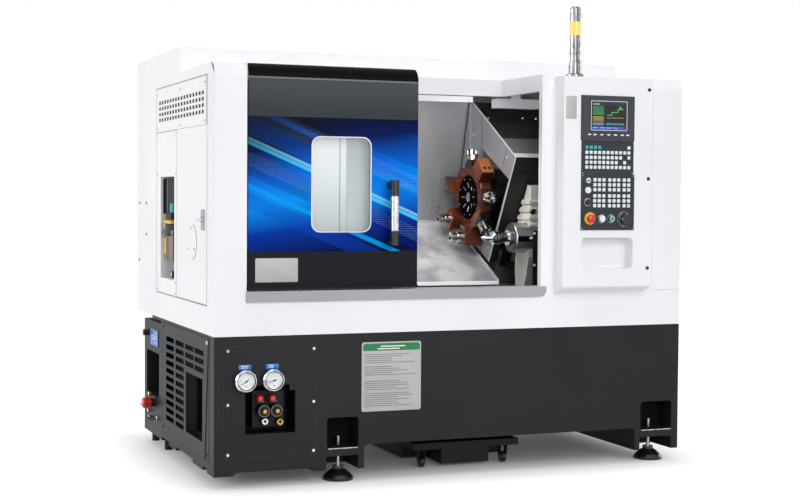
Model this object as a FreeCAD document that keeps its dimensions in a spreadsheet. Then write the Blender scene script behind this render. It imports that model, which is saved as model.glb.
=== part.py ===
import FreeCAD, Part
import math
import os
import Sketcher

# A slant-bed turning lathe with a sliding door, an eight-station turret and a tailstock.
# Machine directions: X runs right along the front, Y runs back from the front face, Z is up.
# Sizes are millimetres. X 0 is the left edge of the covers, Y 0 their front face, Z 0 the floor.
# Every sub-part is then moved so that the row frame starts under the middle of the machine.

V = FreeCAD.Vector
ALONG_X = FreeCAD.Rotation(V(1, 1, 1), 120)
FACING_FRONT = FreeCAD.Rotation(V(1, 0, 0), 90)

SIZES = {
    # where the row frame starts, counted from the left front corner of the covers
    "origin_x": 1141.75, "origin_y": 770.5,
    # covers
    "machine_length": 2350, "machine_depth": 1656, "cover_top": 1876, "roof_top": 1994,
    "roof_front": 640, "roof_slope": 28, "sheet_metal": 3, "edge_radius": 60,
    "seam_x": 2190, "seam_z": 844,
    # base
    "base_top": 675, "base_bottom": 60, "base_depth": 1272, "arch_left": 698, "arch_right": 2108,
    "arch_top": 169, "bay_left": 517, "bay_right": 2135, "bay_width": 154, "bay_top": 122,
    "bay_depth": 180, "niche_bottom": 158, "niche_top": 297, "niche_depth": 115,
    "foot_left": 604, "foot_right": 2236, "foot_front": 90, "foot_back": 1182,
    "foot_radius": 70, "stud_radius": 10,
    # door aperture and door
    "aperture_left": 144, "aperture_right": 1583, "aperture_depth": 440, "sill_top": 872,
    "sill_bottom": 825, "sill_front": 12, "sill_end": 1610,
    "door_left": 152, "door_width": 800, "door_bottom": 878, "door_depth": 50,
    "door_top_depth": 430, "window_left": 444, "window_right": 723, "window_bottom": 1132,
    "window_top": 1556, "window_radius": 40, "handle_x": 817, "handle_reach": 60,
    "handle_bottom": 1073, "handle_top": 1367, "handle_radius": 19,
    "panel_right": 860, "panel_front": 58, "beam_bottom": 1790, "rail_bottom": 1795,
    "rail_top": 1872.7, "jamb_depth": 30,
    # bed and the chip guards
    "bed_angle": 30, "bed_left": 380, "bed_right": 2230, "bed_face": 430, "way_height": 30,
    "way_low": 985, "way_high": 1330, "way_width": 50, "front_way_y": 290, "front_way_z": 765,
    "guard_left": 700, "guard_seam": 1085, "slide_start": 1068, "slide_end": 1600,
    "wall_top_y": 785, "wall_top_z": 1786, "corner_y": 966, "corner_z": 1155,
    "floor_front_y": 400, "floor_front_z": 875, "floor_lip": 17,
    # spindle
    "spindle_y": 300, "spindle_z": 1094, "head_left": 340, "head_right": 690,
    "bearing_radius": 75, "bearing_gap": 0.05, "bar_bore": 26, "nose_radius": 90,
    "chuck_start": 722, "chuck_length": 78, "chuck_radius": 100, "jaw_width": 24,
    # saddle, turret and tools
    "cheek_x": 1560, "cheek_sheet": 2.5, "cover_end": 1960, "cover_front": 938,
    "cover_back": 1523, "cover_slope": 1179, "cover_low": 770, "saddle_left": 1620,
    "saddle_right": 1940, "saddle_top": 540,
    "turret_y": 650, "turret_z": 1292, "disc_x": 1496, "disc_thick": 55, "disc_radius": 165,
    "seat_radius": 156, "cap_radius": 114, "turret_shaft": 60, "chuck_base": 29,
    "chuck_nose": 26,
    # tailstock
    "centre_tip": 1407, "centre_front": 1465, "quill_start": 1519, "hub_start": 1566,
    "hub_end": 1800, "hub_radius": 74, "quill_radius": 30, "tail_right": 1890,
    # control box
    "box_left": 1657, "box_right": 2137, "box_front": 80, "box_top": 1864, "box_low": 865,
    "box_foot": 837, "panel_left": 1751, "panel_end": 2038, "key_pitch": 22.7,
    "display_bottom": 1563, "display_top": 1777, "keyboard_bottom": 1404,
    "keyboard_top": 1554, "operator_bottom": 1140, "operator_top": 1404, "plate_thick": 4,
    # signal tower
    "tower_x": 1792, "tower_y": 68, "tower_radius": 29, "tower_top": 2208,
    "lens_bottom": 2071, "lens_top": 2135,
    # left side
    "side_door_front": 129, "side_door_back": 710, "side_door_bottom": 808,
    "side_door_top": 1604, "vent_back": 1160, "vent_top": 1822, "pit_front": 765,
    "pit_back": 1067, "pit_bottom": 880, "pit_top": 1382, "pit_depth": 150,
    "unit_front": 1063, "unit_back": 1463, "unit_width": 400, "unit_top": 645,
    # service corner of the base
    "gauge_panel_left": 47, "gauge_panel_right": 464, "gauge_panel_bottom": 142,
    "gauge_panel_top": 627, "gauge_x": 137, "gauge_pitch": 126, "gauge_z": 480,
    "gauge_radius": 50, "valve_x": 228, "valve_pitch": 57, "valve_z": 341,
    # coolant tank on casters
    "tank_left": 1026, "tank_right": 1576, "tank_front": 205, "tank_back": 1000,
    "tray_bottom": 86, "tray_top": 118, "wheel_radius": 27, "wheel_width": 22,
    "front_axle_y": 235, "back_axle_y": 1045, "wheel_left": 1075, "wheel_right": 1505,
}


class Size:
    """A length with the sheet expression that gives it, so sums of sizes stay bound to the sheet."""

    def __init__(self, value, text=None):
        self.value = float(value)
        self.text = text or f"({float(value):.6g})"
        self.bound = text is not None

    def joined(self, other, value, sign):
        result = Size(value, f"({self.text} {sign} {other.text})")
        result.bound = self.bound or other.bound
        return result

    def __add__(self, other):
        other = size(other)
        return self.joined(other, self.value + other.value, "+")

    def __sub__(self, other):
        other = size(other)
        return self.joined(other, self.value - other.value, "-")

    def __mul__(self, other):
        other = size(other)
        return self.joined(other, self.value * other.value, "*")

    def __truediv__(self, other):
        other = size(other)
        return self.joined(other, self.value / other.value, "/")

    def __neg__(self):
        return size(0) - self

    def __radd__(self, other):
        return size(other) + self

    def __rsub__(self, other):
        return size(other) - self

    def __rmul__(self, other):
        return size(other) * self


def size(number):
    return number if isinstance(number, Size) else Size(number)


doc = FreeCAD.newDocument("turning_lathe")
sheet = doc.addObject("Spreadsheet::Sheet", "Sheet")


class Sheet:
    """The driving dimensions: S.name gives the size held by the cell of that name."""


S = Sheet()
for row, (alias, number) in enumerate(SIZES.items(), start=1):
    sheet.set(f"A{row}", alias)
    sheet.set(f"B{row}", str(number))
    sheet.setAlias(f"B{row}", alias)
    setattr(S, alias, Size(number, f"Sheet.{alias}"))
doc.recompute()

COS = Size(math.cos(math.radians(SIZES["bed_angle"])), "cos(Sheet.bed_angle)")
SIN = Size(math.sin(math.radians(SIZES["bed_angle"])), "sin(Sheet.bed_angle)")

parts = []
cuts = []


# ---------------------------------------------------------------- drawing and feature helpers

def bind(thing, prop, length):
    """Set a property and tie it to the sheet where its size comes from there."""
    if length.bound:
        thing.setExpression(prop, length.text)
    else:
        setattr(thing, prop, length.value)


def pin(sketch, geometry, point, x, y):
    """Hold one point of the sketch at (x, y) from the sketch's origin."""
    for kind, axis, length in (("DistanceX", -2, size(x)), ("DistanceY", -1, size(y))):
        if not length.bound and length.value == 0:
            sketch.addConstraint(Sketcher.Constraint("PointOnObject", geometry, point, axis))
            continue
        rule = Sketcher.Constraint(kind, -1, 1, geometry, point, length.value)
        number = sketch.addConstraint(rule)
        if length.bound:
            sketch.setExpression(f"Constraints[{number}]", length.text)


def polygon(*points):
    """A closed outline through the given points."""
    def draw(sketch):
        first = sketch.GeometryCount
        count = len(points)
        ends = [V(size(x).value, size(y).value, 0) for x, y in points]
        lines = [Part.LineSegment(ends[i], ends[(i + 1) % count]) for i in range(count)]
        sketch.addGeometry(lines, False)
        for i in range(count):
            following = first + (i + 1) % count
            sketch.addConstraint(Sketcher.Constraint("Coincident", first + i, 2, following, 1))
        for i, (x, y) in enumerate(points):
            pin(sketch, first + i, 1, x, y)
    return draw


def box(x0, y0, x1, y1):
    return polygon((x0, y0), (x1, y0), (x1, y1), (x0, y1))


def circle(x, y, radius):
    """A circle about (x, y)."""
    def draw(sketch):
        centre = V(size(x).value, size(y).value, 0)
        number = sketch.addGeometry(Part.Circle(centre, V(0, 0, 1), size(radius).value), False)
        rule = sketch.addConstraint(Sketcher.Constraint("Radius", number, size(radius).value))
        if size(radius).bound:
            sketch.setExpression(f"Constraints[{rule}]", size(radius).text)
        pin(sketch, number, 3, x, y)
    return draw


def rounded(x0, y0, x1, y1, radius):
    """A rectangle whose four corners are quarter circles."""
    def draw(sketch):
        left, low, right, high = (size(edge) for edge in (x0, y0, x1, y1))
        bend = size(radius)
        first = sketch.GeometryCount
        centres = ((left + bend, low + bend), (right - bend, low + bend),
                   (right - bend, high - bend), (left + bend, high - bend))
        for corner, (cx, cy) in enumerate(centres):
            start = math.pi + corner * math.pi / 2
            whole = Part.Circle(V(cx.value, cy.value, 0), V(0, 0, 1), bend.value)
            arc = Part.ArcOfCircle(whole, start, start + math.pi / 2)
            sketch.addGeometry(arc, False)
        for corner in range(4):
            after = (corner + 1) % 4
            arc_end = sketch.getPoint(first + corner, 2)
            next_start = sketch.getPoint(first + after, 1)
            side = sketch.addGeometry(Part.LineSegment(arc_end, next_start), False)
            sketch.addConstraint(Sketcher.Constraint("Tangent", first + corner, 2, side, 1))
            sketch.addConstraint(Sketcher.Constraint("Tangent", side, 2, first + after, 1))
        for corner, (cx, cy) in enumerate(centres):
            pin(sketch, first + corner, 3, cx, cy)
        rule = sketch.addConstraint(Sketcher.Constraint("Radius", first, bend.value))
        if bend.bound:
            sketch.setExpression(f"Constraints[{rule}]", bend.text)
    return draw


def new_body(label, separate_solids=False):
    body = doc.addObject("PartDesign::Body", label)
    body.Label = label
    body.AllowCompound = separate_solids
    parts.append(body)
    place(body, 0, 0, 0)
    return body


def place(thing, x, y, z, rotation=None):
    """Put a sub-part's own origin at a machine position, in the row frame."""
    base = (size(x) - S.origin_x, size(y) - S.origin_y, size(z))
    turn = rotation or FreeCAD.Rotation()
    thing.Placement = FreeCAD.Placement(V(*(step.value for step in base)), turn)
    for letter, step in zip("xyz", base):
        if step.bound:
            thing.setExpression(f"Placement.Base.{letter}", step.text)


def new_sketch(body, role, height, drawings):
    """A sketch on one of the body's own planes, moved along the axis that the plane faces."""
    sketch = body.newObject("Sketcher::SketchObject", f"{body.Label}_sketch")
    plane = next(face for face in body.Origin.OriginFeatures if face.Role == role)
    sketch.AttachmentSupport = [(plane, "")]
    sketch.MapMode = "FlatFace"
    step = -size(height) if role == "XZ_Plane" else size(height)
    sketch.AttachmentOffset = FreeCAD.Placement(V(0, 0, step.value), FreeCAD.Rotation())
    if step.bound:
        sketch.setExpression("AttachmentOffset.Base.z", step.text)
    for draw in drawings:
        draw(sketch)
    return sketch


def pad(body, role, start, end, *drawings):
    """Add material between two heights above a plane of the body."""
    sketch = new_sketch(body, role, start, drawings)
    feature = body.newObject("PartDesign::Pad", f"{body.Label}_pad")
    feature.Profile = sketch
    bind(feature, "Length", size(end) - size(start))
    feature.Reversed = role == "XZ_Plane"
    doc.recompute()
    return feature


def cut(body, role, start, end, *drawings):
    """Take material away between two heights above a plane of the body."""
    before = body.Tip
    sketch = new_sketch(body, role, start, drawings)
    feature = body.newObject("PartDesign::Pocket", f"{body.Label}_pocket")
    feature.Profile = sketch
    bind(feature, "Length", size(end) - size(start))
    feature.Reversed = role != "XZ_Plane"
    doc.recompute()
    cuts.append((before, feature))
    return feature


def revolve(body, *points):
    """Turn an outline of (radius, height) points about the body's own Z axis."""
    sketch = new_sketch(body, "XZ_Plane", 0, [polygon(*points)])
    feature = body.newObject("PartDesign::Revolution", f"{body.Label}_turning")
    feature.Profile = sketch
    feature.ReferenceAxis = (sketch, ["V_Axis"])
    feature.Angle = 360
    doc.recompute()
    return feature


def repeat(body, feature, steps):
    """Repeat a feature along the axes of its sketch: steps are (axis, span, count)."""
    sketch = feature.Profile[0]
    moves = []
    for axis, span, count in steps:
        pattern = body.newObject("PartDesign::LinearPattern", f"{body.Label}_row")
        pattern.Direction = (sketch, [axis])
        bind(pattern, "Length", size(span))
        pattern.Occurrences = count
        moves.append(pattern)
    if len(moves) == 1:
        moves[0].Originals = [feature]
        body.Tip = moves[0]
    else:
        grid = body.newObject("PartDesign::MultiTransform", f"{body.Label}_grid")
        grid.Originals = [feature]
        for pattern in moves:
            pattern.Originals = []
        grid.Transformations = moves
        body.Tip = grid
    doc.recompute()


def spin(body, feature, count):
    """Repeat a feature evenly about the body's own Z axis."""
    pattern = body.newObject("PartDesign::PolarPattern", f"{body.Label}_ring")
    pattern.Originals = [feature]
    pattern.Axis = (feature.Profile[0], ["N_Axis"])
    pattern.Angle = 360
    pattern.Occurrences = count
    body.Tip = pattern
    doc.recompute()


def soften(body, kind, amount, *spots):
    """Fillet or chamfer the edges of the body that pass nearest to the given spots."""
    before = body.Tip
    shape = before.Shape
    names = []
    for spot in spots:
        target = Part.Vertex(V(*(size(step).value for step in spot)))
        gaps = [edge.distToShape(target)[0] for edge in shape.Edges]
        names.append(f"Edge{gaps.index(min(gaps)) + 1}")
    feature = body.newObject(f"PartDesign::{kind}", f"{body.Label}_{kind.lower()}")
    feature.Base = (before, sorted(set(names)))
    bind(feature, "Radius" if kind == "Fillet" else "Size", size(amount))
    doc.recompute()


def add_round(body, kind, radius, length, position, direction):
    """Add or take away a round bar from a position along a direction, in the body's own frame."""
    bar = body.newObject(f"PartDesign::{kind}Cylinder", f"{body.Label}_bar")
    bind(bar, "Radius", size(radius))
    bind(bar, "Height", size(length))
    turn = FreeCAD.Rotation(V(0, 0, 1), direction)
    bar.Placement = FreeCAD.Placement(V(*(size(step).value for step in position)), turn)
    doc.recompute()
    return bar


def slant(along, above):
    """A (Y, Z) point from its distances along the slanted bed and above the bed's own datum."""
    along, above = size(along), size(above)
    return along * COS - above * SIN, along * SIN + above * COS


# ---------------------------------------------------------------- base

def make_base_frame():
    """Black welded base: legs at both ends, an arch for the coolant tank, bays for the feet."""
    body = new_body("base_frame")
    step = 15
    low = S.base_bottom
    pad(body, "XZ_Plane", 0, S.base_depth, polygon(
        (0, low), (85, low), (103, low + step), (459, low + step), (459, low),
        (S.arch_left, low), (S.arch_left, S.arch_top - 12), (S.arch_left + 17, S.arch_top),
        (S.arch_right - 17, S.arch_top), (S.arch_right, S.arch_top - 12), (S.arch_right, low),
        (S.machine_length, low), (S.machine_length, S.base_top), (0, S.base_top)))
    for left, width in ((S.bay_left, S.bay_width), (S.bay_right, S.bay_width + 24)):
        bay = box(left, low - 5, left + width, S.bay_top)
        cut(body, "XZ_Plane", -1, S.bay_depth, bay)
        cut(body, "XZ_Plane", S.base_depth - S.bay_depth, S.base_depth + 1, bay)
        niche = rounded(left + 3, S.niche_bottom, left + width, S.niche_top, 16)
        cut(body, "XZ_Plane", -1, S.niche_depth, niche)
        cut(body, "XZ_Plane", S.base_depth - S.niche_depth, S.base_depth + 1, niche)
    hole = S.stud_radius + 0.5
    cut(body, "XY_Plane", S.bay_top - 1, S.niche_bottom + 1,
        *(circle(x, y, hole) for x in (S.foot_left, S.foot_right)
          for y in (S.foot_front, S.foot_back)))
    for front, back in ((125, 198), (390, 728), (887, 1040)):
        cut(body, "YZ_Plane", -1, 459, box(front, low - 5, back, low + step + 3))
    cut(body, "YZ_Plane", -1, S.unit_width + 20,
        box(S.unit_front, low - 5, S.base_depth + 1, S.unit_top + 15))
    cut(body, "XZ_Plane", -1, 160, box(130, 235, 380, 465))
    cut(body, "YZ_Plane", -1, 50, box(170, 170, 945, 620))
    cut(body, "YZ_Plane", -1, 150, box(195, 186, 515, 468))


def make_levelling_feet():
    """Four round pads with domed tops and threaded studs that carry the base."""
    body = new_body("levelling_feet", separate_solids=True)
    stud = S.stud_radius
    feature = revolve(
        body, (0, 0), (S.foot_radius, 0), (S.foot_radius, 12), (S.foot_radius - 10, 26),
        (38, 44), (26, 50), (26, 64), (stud, 64), (stud, 200), (0, 200))
    place(body, S.foot_left, S.foot_front, 0)
    sketch = new_sketch(body, "XY_Plane", 0, [])
    moves = []
    for axis, span in (("H_Axis", S.foot_right - S.foot_left),
                       ("V_Axis", S.foot_back - S.foot_front)):
        pattern = body.newObject("PartDesign::LinearPattern", "feet_row")
        pattern.Direction = (sketch, [axis])
        bind(pattern, "Length", span)
        pattern.Occurrences = 2
        moves.append(pattern)
    grid = body.newObject("PartDesign::MultiTransform", "feet_grid")
    grid.Originals = [feature]
    grid.Transformations = moves
    body.Tip = grid
    doc.recompute()


def make_side_grille():
    """Slotted sheet over the left side of the base, with an open window at its lower front."""
    body = new_body("side_grille")
    thick = S.sheet_metal
    pad(body, "YZ_Plane", -thick, 0, polygon((154, 118), (1025, 117), (1013, 657), (93, 658)))
    slot_length = 168
    slot_height = 24
    pitch = 39
    top = 585
    for centre, count in ((850, 11), (642, 11), (446, 3), (259, 3)):
        left = centre - slot_length / 2
        slot = cut(body, "YZ_Plane", -thick - 1, 1,
                   box(left, top - slot_height / 2, left + slot_length, top + slot_height / 2))
        pattern = body.newObject("PartDesign::LinearPattern", "grille_row")
        pattern.Originals = [slot]
        pattern.Direction = (slot.Profile[0], ["V_Axis"])
        pattern.Reversed = True
        pattern.Length = pitch * (count - 1)
        pattern.Occurrences = count
        body.Tip = pattern
        doc.recompute()
    cut(body, "YZ_Plane", -thick - 1, 1, box(195, 186, 515, 468))


def make_gauge_panel():
    """Sheet over the service corner, with two gauge holes and an opening for the valves."""
    body = new_body("gauge_panel")
    thick = S.sheet_metal
    pad(body, "XZ_Plane", -thick, 0, rounded(
        S.gauge_panel_left, S.gauge_panel_bottom, S.gauge_panel_right, S.gauge_panel_top, 8))
    cut(body, "XZ_Plane", -thick - 1, 1, polygon(
        (139, 242), (370, 242), (370, 431), (343, 431), (343, 457), (190, 457), (165, 431),
        (139, 431)))


def make_pressure_gauges():
    """Two round pressure gauges with a flat glass set into a bezel."""
    body = new_body("pressure_gauges", separate_solids=True)
    radius = S.gauge_radius
    feature = revolve(body, (0, 0), (radius - 6, 0), (radius, 6), (radius, 30), (radius - 5, 36),
                      (radius - 8, 36), (radius - 8, 30), (0, 30))
    sketch = new_sketch(body, "XY_Plane", 0, [])
    pattern = body.newObject("PartDesign::LinearPattern", "gauge_row")
    pattern.Originals = [feature]
    pattern.Direction = (sketch, ["H_Axis"])
    bind(pattern, "Length", S.gauge_pitch)
    pattern.Occurrences = 2
    body.Tip = pattern
    place(body, S.gauge_x, -S.sheet_metal, S.gauge_z, FACING_FRONT)
    doc.recompute()


def make_valve_block():
    """Manifold with two round pressure valves and two hose ports, deep in its bay."""
    body = new_body("valve_block")
    pad(body, "XZ_Plane", 60, 160, box(190, 262, 335, 425))
    first = S.valve_x
    second = S.valve_x + S.valve_pitch
    pad(body, "XZ_Plane", 0, 60, circle(first, S.valve_z, 26), circle(second, S.valve_z, 26))
    pad(body, "XZ_Plane", -16, 0, circle(first, S.valve_z, 9), circle(second, S.valve_z, 9))
    pad(body, "XZ_Plane", 30, 60, circle(239, 291, 13), circle(309, 287, 13))
    for x in (214, 271):
        cut(body, "XZ_Plane", 59, 90, circle(x, 396, 6.4))


def make_valve_knob(label, x):
    """Small adjusting knob with a waist and a stem that turns in the manifold."""
    body = new_body(label)
    revolve(body, (0, -76), (6, -76), (6, -50), (9, -50), (9, -42), (14, -40), (14, -8),
            (11, 0), (0, 0))
    place(body, x, 8, 396, FACING_FRONT)


def make_hydraulic_unit():
    """Hydraulic power unit that stands on its own feet in the left rear notch of the base."""
    body = new_body("hydraulic_unit")
    front = S.unit_front
    pad(body, "YZ_Plane", 0, S.unit_width, box(front, 62, S.unit_back, S.unit_top))
    cut(body, "YZ_Plane", -1, 120, rounded(front + 47, 258, front + 344, 487, 14))
    pad(body, "YZ_Plane", 60, 121, box(front + 90, 259, front + 150, 420))
    pad(body, "YZ_Plane", 60, 121, box(front + 200, 259, front + 260, 380))
    pad(body, "YZ_Plane", -3, 0, box(front + 63, 521, front + 238, 603))
    pad(body, "YZ_Plane", -24, 0, circle(front + 320, 575, 16))
    pad(body, "YZ_Plane", -20, 0, circle(front + 150, 230, 22))
    pad(body, "YZ_Plane", -30, 0, circle(front + 150, 230, 16))
    feet = [circle(x, y, 20) for x in (50, S.unit_width - 50)
            for y in (front + 50, S.unit_back - 50)]
    pad(body, "XY_Plane", 0, 62, *feet)


def make_filler_cap():
    """Screw cap on the oil filler neck of the hydraulic unit, with a grip rim."""
    body = new_body("filler_cap")
    revolve(body, (17, -12), (24, -12), (27, -8), (27, 26), (20, 34), (0, 34), (0, 2),
            (17, 2))
    rim = cut(body, "XY_Plane", 4, 35, box(-3, 24, 3, 30))
    spin(body, rim, 12)
    turn = FreeCAD.Rotation(V(0, 0, 1), V(-1, 0, 0))
    place(body, -32.5, S.unit_front + 150, 230, turn)


# ---------------------------------------------------------------- covers

def hook(depth, low, thick):
    """Outline of a bent cover: up the front, then back over the top."""
    top = S.cover_top
    return polygon((0, low), (0, top), (depth, top), (depth, top - thick), (thick, top - thick),
                   (thick, low))


def bend_edges(body, middle, thick):
    """Round the long bend of a hook-shaped cover, outside and inside."""
    soften(body, "Fillet", S.edge_radius - thick, (middle, thick, S.cover_top - thick))
    soften(body, "Fillet", S.edge_radius, (middle, 0, S.cover_top))


def make_front_cover():
    """White front and top sheet, bent at the top edge and open where the door slides."""
    body = new_body("front_cover")
    thick = S.sheet_metal
    pad(body, "YZ_Plane", 0, S.seam_x, hook(S.roof_front, S.base_top, thick))
    bend_edges(body, 60, thick)
    pad(body, "XZ_Plane", 0, thick, box(S.seam_x, S.base_top, S.machine_length, S.seam_z))
    right = S.aperture_right + 4
    cut(body, "XZ_Plane", -1, S.aperture_depth,
        box(S.aperture_left, S.sill_bottom, right, S.cover_top + 1))


def make_right_side_cover():
    """White right end: a side sheet with a strip of the front and the top."""
    body = new_body("right_side_cover")
    thick = S.sheet_metal
    right = S.machine_length
    pad(body, "YZ_Plane", S.seam_x + 1, right, hook(S.roof_front, S.seam_z + 1, thick))
    bend_edges(body, S.seam_x + 70, thick)
    pad(body, "YZ_Plane", right - thick, right, side_outline())


def side_outline():
    """Outline of an end sheet, under the raised roof at the back."""
    thick = S.sheet_metal
    front = S.roof_front
    return polygon(
        (thick, S.base_top), (thick, S.cover_top - S.edge_radius),
        (S.edge_radius, S.cover_top - thick), (front, S.cover_top - thick),
        (front + S.roof_slope, S.roof_top), (S.machine_depth, S.roof_top),
        (S.machine_depth, S.base_top))


def make_left_side_cover():
    """White left end sheet with openings for the side door and the lubricator."""
    body = new_body("left_side_cover")
    thick = S.sheet_metal
    pad(body, "YZ_Plane", 0, thick, side_outline())
    cut(body, "YZ_Plane", -1, thick + 1, box(
        S.side_door_front + 20, S.side_door_bottom + 20, S.side_door_back - 20,
        S.side_door_top - 20))
    cut(body, "YZ_Plane", -1, thick + 1, box(
        S.pit_front - 3, S.pit_bottom - 3, S.pit_back + 3, S.pit_top + 3))


def make_rear_cover():
    """White raised roof and rear sheet, bent from one length."""
    body = new_body("rear_cover")
    thick = S.sheet_metal
    front = S.roof_front
    back = S.machine_depth
    slope = front + S.roof_slope
    pad(body, "YZ_Plane", thick, S.machine_length - thick, polygon(
        (front, S.cover_top - thick), (slope, S.roof_top), (back, S.roof_top),
        (back, S.base_top), (back - thick, S.base_top), (back - thick, S.roof_top - thick),
        (slope + 2, S.roof_top - thick), (front + thick, S.cover_top - thick)))


def make_vent_panel():
    """Louvred panel on the left end, with four rows of vertical slots."""
    body = new_body("vent_panel")
    pad(body, "YZ_Plane", -2, 0, rounded(
        S.side_door_front + 5, S.side_door_top + 2, S.vent_back, S.vent_top, 6))
    columns = 16
    rows = 4
    first = 186
    span = 1104 - first - 36
    slot = cut(body, "YZ_Plane", -3, 1, box(first, 1656.5, first + 36, 1673.5))
    repeat(body, slot, (("H_Axis", span, columns), ("V_Axis", 85, rows)))


def make_lubricator_panel():
    """Narrow side panel with a deep pan in which the lubricator hangs."""
    body = new_body("lubricator_panel")
    wall = 3
    pad(body, "YZ_Plane", -2, 0, box(S.side_door_back + 2, 806, S.vent_back, S.side_door_top))
    pad(body, "YZ_Plane", -0.5, S.pit_depth + wall, box(
        S.pit_front - wall, S.pit_bottom - wall, S.pit_back + wall, S.pit_top + wall))
    cut(body, "YZ_Plane", -3, S.pit_depth, box(
        S.pit_front, S.pit_bottom, S.pit_back, S.pit_top))


def make_lubricator():
    """Automatic oil pump over a metering block and an oil reservoir with a filler cap."""
    body = new_body("lubricator", separate_solids=True)
    back = S.pit_depth
    pad(body, "YZ_Plane", back - 130, back, box(870, 1209, 1024, 1376))
    pad(body, "YZ_Plane", back - 100, back, box(850, 1116, 1010, 1209))
    pad(body, "YZ_Plane", back - 120, back, rounded(838, 962, 1014, 1116, 14))
    pad(body, "XY_Plane", 1108, 1145, circle(back - 70, 855, 30))
    pad(body, "XY_Plane", 1145, 1245, circle(back - 70, 842, 27))
    pad(body, "YZ_Plane", back - 60, back, circle(900, 905, 14))


def make_side_door():
    """Hinged access door on the left end with a round cover and a latch plate."""
    body = new_body("side_door")
    skin = 2.6
    front = S.side_door_front
    pad(body, "YZ_Plane", 0, skin, box(
        front, S.side_door_bottom, S.side_door_back, S.side_door_top))
    pad(body, "YZ_Plane", skin, 20, box(
        front + 30, S.side_door_bottom + 30, S.side_door_back - 60, S.side_door_top - 30))
    cut(body, "YZ_Plane", skin, 21, box(
        front + 33, S.side_door_bottom + 33, S.side_door_back - 63, S.side_door_top - 33))
    pad(body, "YZ_Plane", -3, 0, circle(383, 1077, 77))
    pad(body, "YZ_Plane", -4, 0, rounded(147, 1135, 217, 1230, 8))
    place(body, -3, 0, 0)


def make_latch_lever():
    """Flat lever that turns on the latch plate of the side door."""
    body = new_body("latch_lever")
    pad(body, "YZ_Plane", -16, 0, circle(0, 0, 12))
    pad(body, "YZ_Plane", -16, -9, rounded(-10, -9, 62, 9, 7))
    place(body, -7.4, 166, 1185)


def make_opening_frame():
    """Door aperture: fixed front panel, left return, bottom rail, right jamb, rail and beam."""
    body = new_body("opening_frame")
    thick = S.sheet_metal
    left = S.aperture_left
    right = S.aperture_right
    front = S.panel_front
    pad(body, "XZ_Plane", front, front + 4, box(left, S.sill_top, S.panel_right, 1860))
    pad(body, "XZ_Plane", front - 4, front, box(593, S.sill_top + 20, 626, 1840))
    pad(body, "YZ_Plane", left, left + thick, box(4, S.sill_top, 480, 1872))
    pad(body, "XZ_Plane", 52, front + 4, box(left, 858, right + 4, S.sill_top))
    pad(body, "YZ_Plane", right, right + 4, box(0, 858, front + 4, S.sill_top))
    pad(body, "YZ_Plane", right, right + 4, box(-thick, S.sill_top, S.jamb_depth, S.rail_bottom))
    pad(body, "XZ_Plane", -thick, 0, box(right, S.sill_top, S.sill_end, 1866))
    rail = S.rail_bottom
    back = 477
    pad(body, "YZ_Plane", right, right + 4, box(-thick, rail, back, S.rail_top))
    pad(body, "YZ_Plane", right + 3, S.sill_end, polygon(
        (thick + 0.3, rail), (back, rail), (back, S.rail_top), (60, S.rail_top), (19, 1855),
        (thick + 0.3, 1816)))
    cut(body, "YZ_Plane", right - 1, right + 1.5, box(10, rail + 19, 470, rail + 23))
    pad(body, "YZ_Plane", left, right + 1, box(
        S.aperture_depth, S.beam_bottom, back + 3, S.rail_top))


def make_sill_plate():
    """Grey sill along the bottom of the door aperture, with a rounded lower corner."""
    body = new_body("sill_plate")
    pad(body, "XZ_Plane", -S.sill_front, 0, box(
        S.aperture_left, S.sill_bottom, S.sill_end, S.sill_top))
    pad(body, "XZ_Plane", 0, 52, box(
        S.aperture_left, S.sill_top - 12, S.aperture_right, S.sill_top))
    pad(body, "XZ_Plane", 0, 3, box(
        S.aperture_left, S.sill_bottom, S.aperture_right, S.sill_top - 12))
    soften(body, "Fillet", 30, (S.sill_end, -6, S.sill_bottom))


def make_work_lights():
    """Light bar under the beam and a lamp box hung from the top sheet at the right."""
    body = new_body("work_lights", separate_solids=True)
    pad(body, "YZ_Plane", S.guard_left + 20, 1424, box(440, 1762, 466, S.beam_bottom))
    pad(body, "YZ_Plane", 1582, 1819, box(490, 1743, 560, 1789))
    pad(body, "YZ_Plane", 1680, 1720, box(510, 1789, 540, S.cover_top - S.sheet_metal))


# ---------------------------------------------------------------- sliding door

def make_door_panel():
    """Black sliding door, bent back over the top, with stiff edges and a window opening."""
    body = new_body("door_panel")
    thick = S.sheet_metal
    left = S.door_left
    right = S.door_left + S.door_width
    pad(body, "YZ_Plane", left, right, hook(S.door_top_depth, S.door_bottom, thick))
    bend_edges(body, S.door_left + 60, thick)
    inner = S.door_depth
    edge = 30
    for start in (left, right - edge):
        pad(body, "XZ_Plane", thick - 0.5, inner, box(start, S.door_bottom, start + edge, 1800))
    pad(body, "XZ_Plane", thick - 0.5, inner, box(left, S.door_bottom, right, 908))
    pad(body, "XZ_Plane", -12, 0, box(left, S.door_bottom, right, 890))
    cut(body, "XZ_Plane", -1, thick + 1, rounded(
        S.window_left, S.window_bottom, S.window_right, S.window_top, S.window_radius))


def make_door_window():
    """Laminated pane held against the back of the door skin."""
    body = new_body("door_window")
    lap = 14
    pad(body, "XZ_Plane", S.sheet_metal, S.sheet_metal + 8, rounded(
        S.window_left - lap, S.window_bottom - lap, S.window_right + lap, S.window_top + lap,
        S.window_radius))


def make_door_handle():
    """Upright round grip on two elbows that are screwed to the door."""
    body = new_body("door_handle")
    reach = S.handle_reach
    radius = S.handle_radius
    length = S.handle_top - S.handle_bottom
    add_round(body, "Additive", radius, length, (0, -reach, 0), V(0, 0, 1))
    for height in (radius + 2, length - radius - 2):
        add_round(body, "Additive", radius - 1, reach, (0, -reach, height), V(0, 1, 0))
    place(body, S.handle_x, 0, S.handle_bottom)


# ---------------------------------------------------------------- bed and guards

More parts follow.
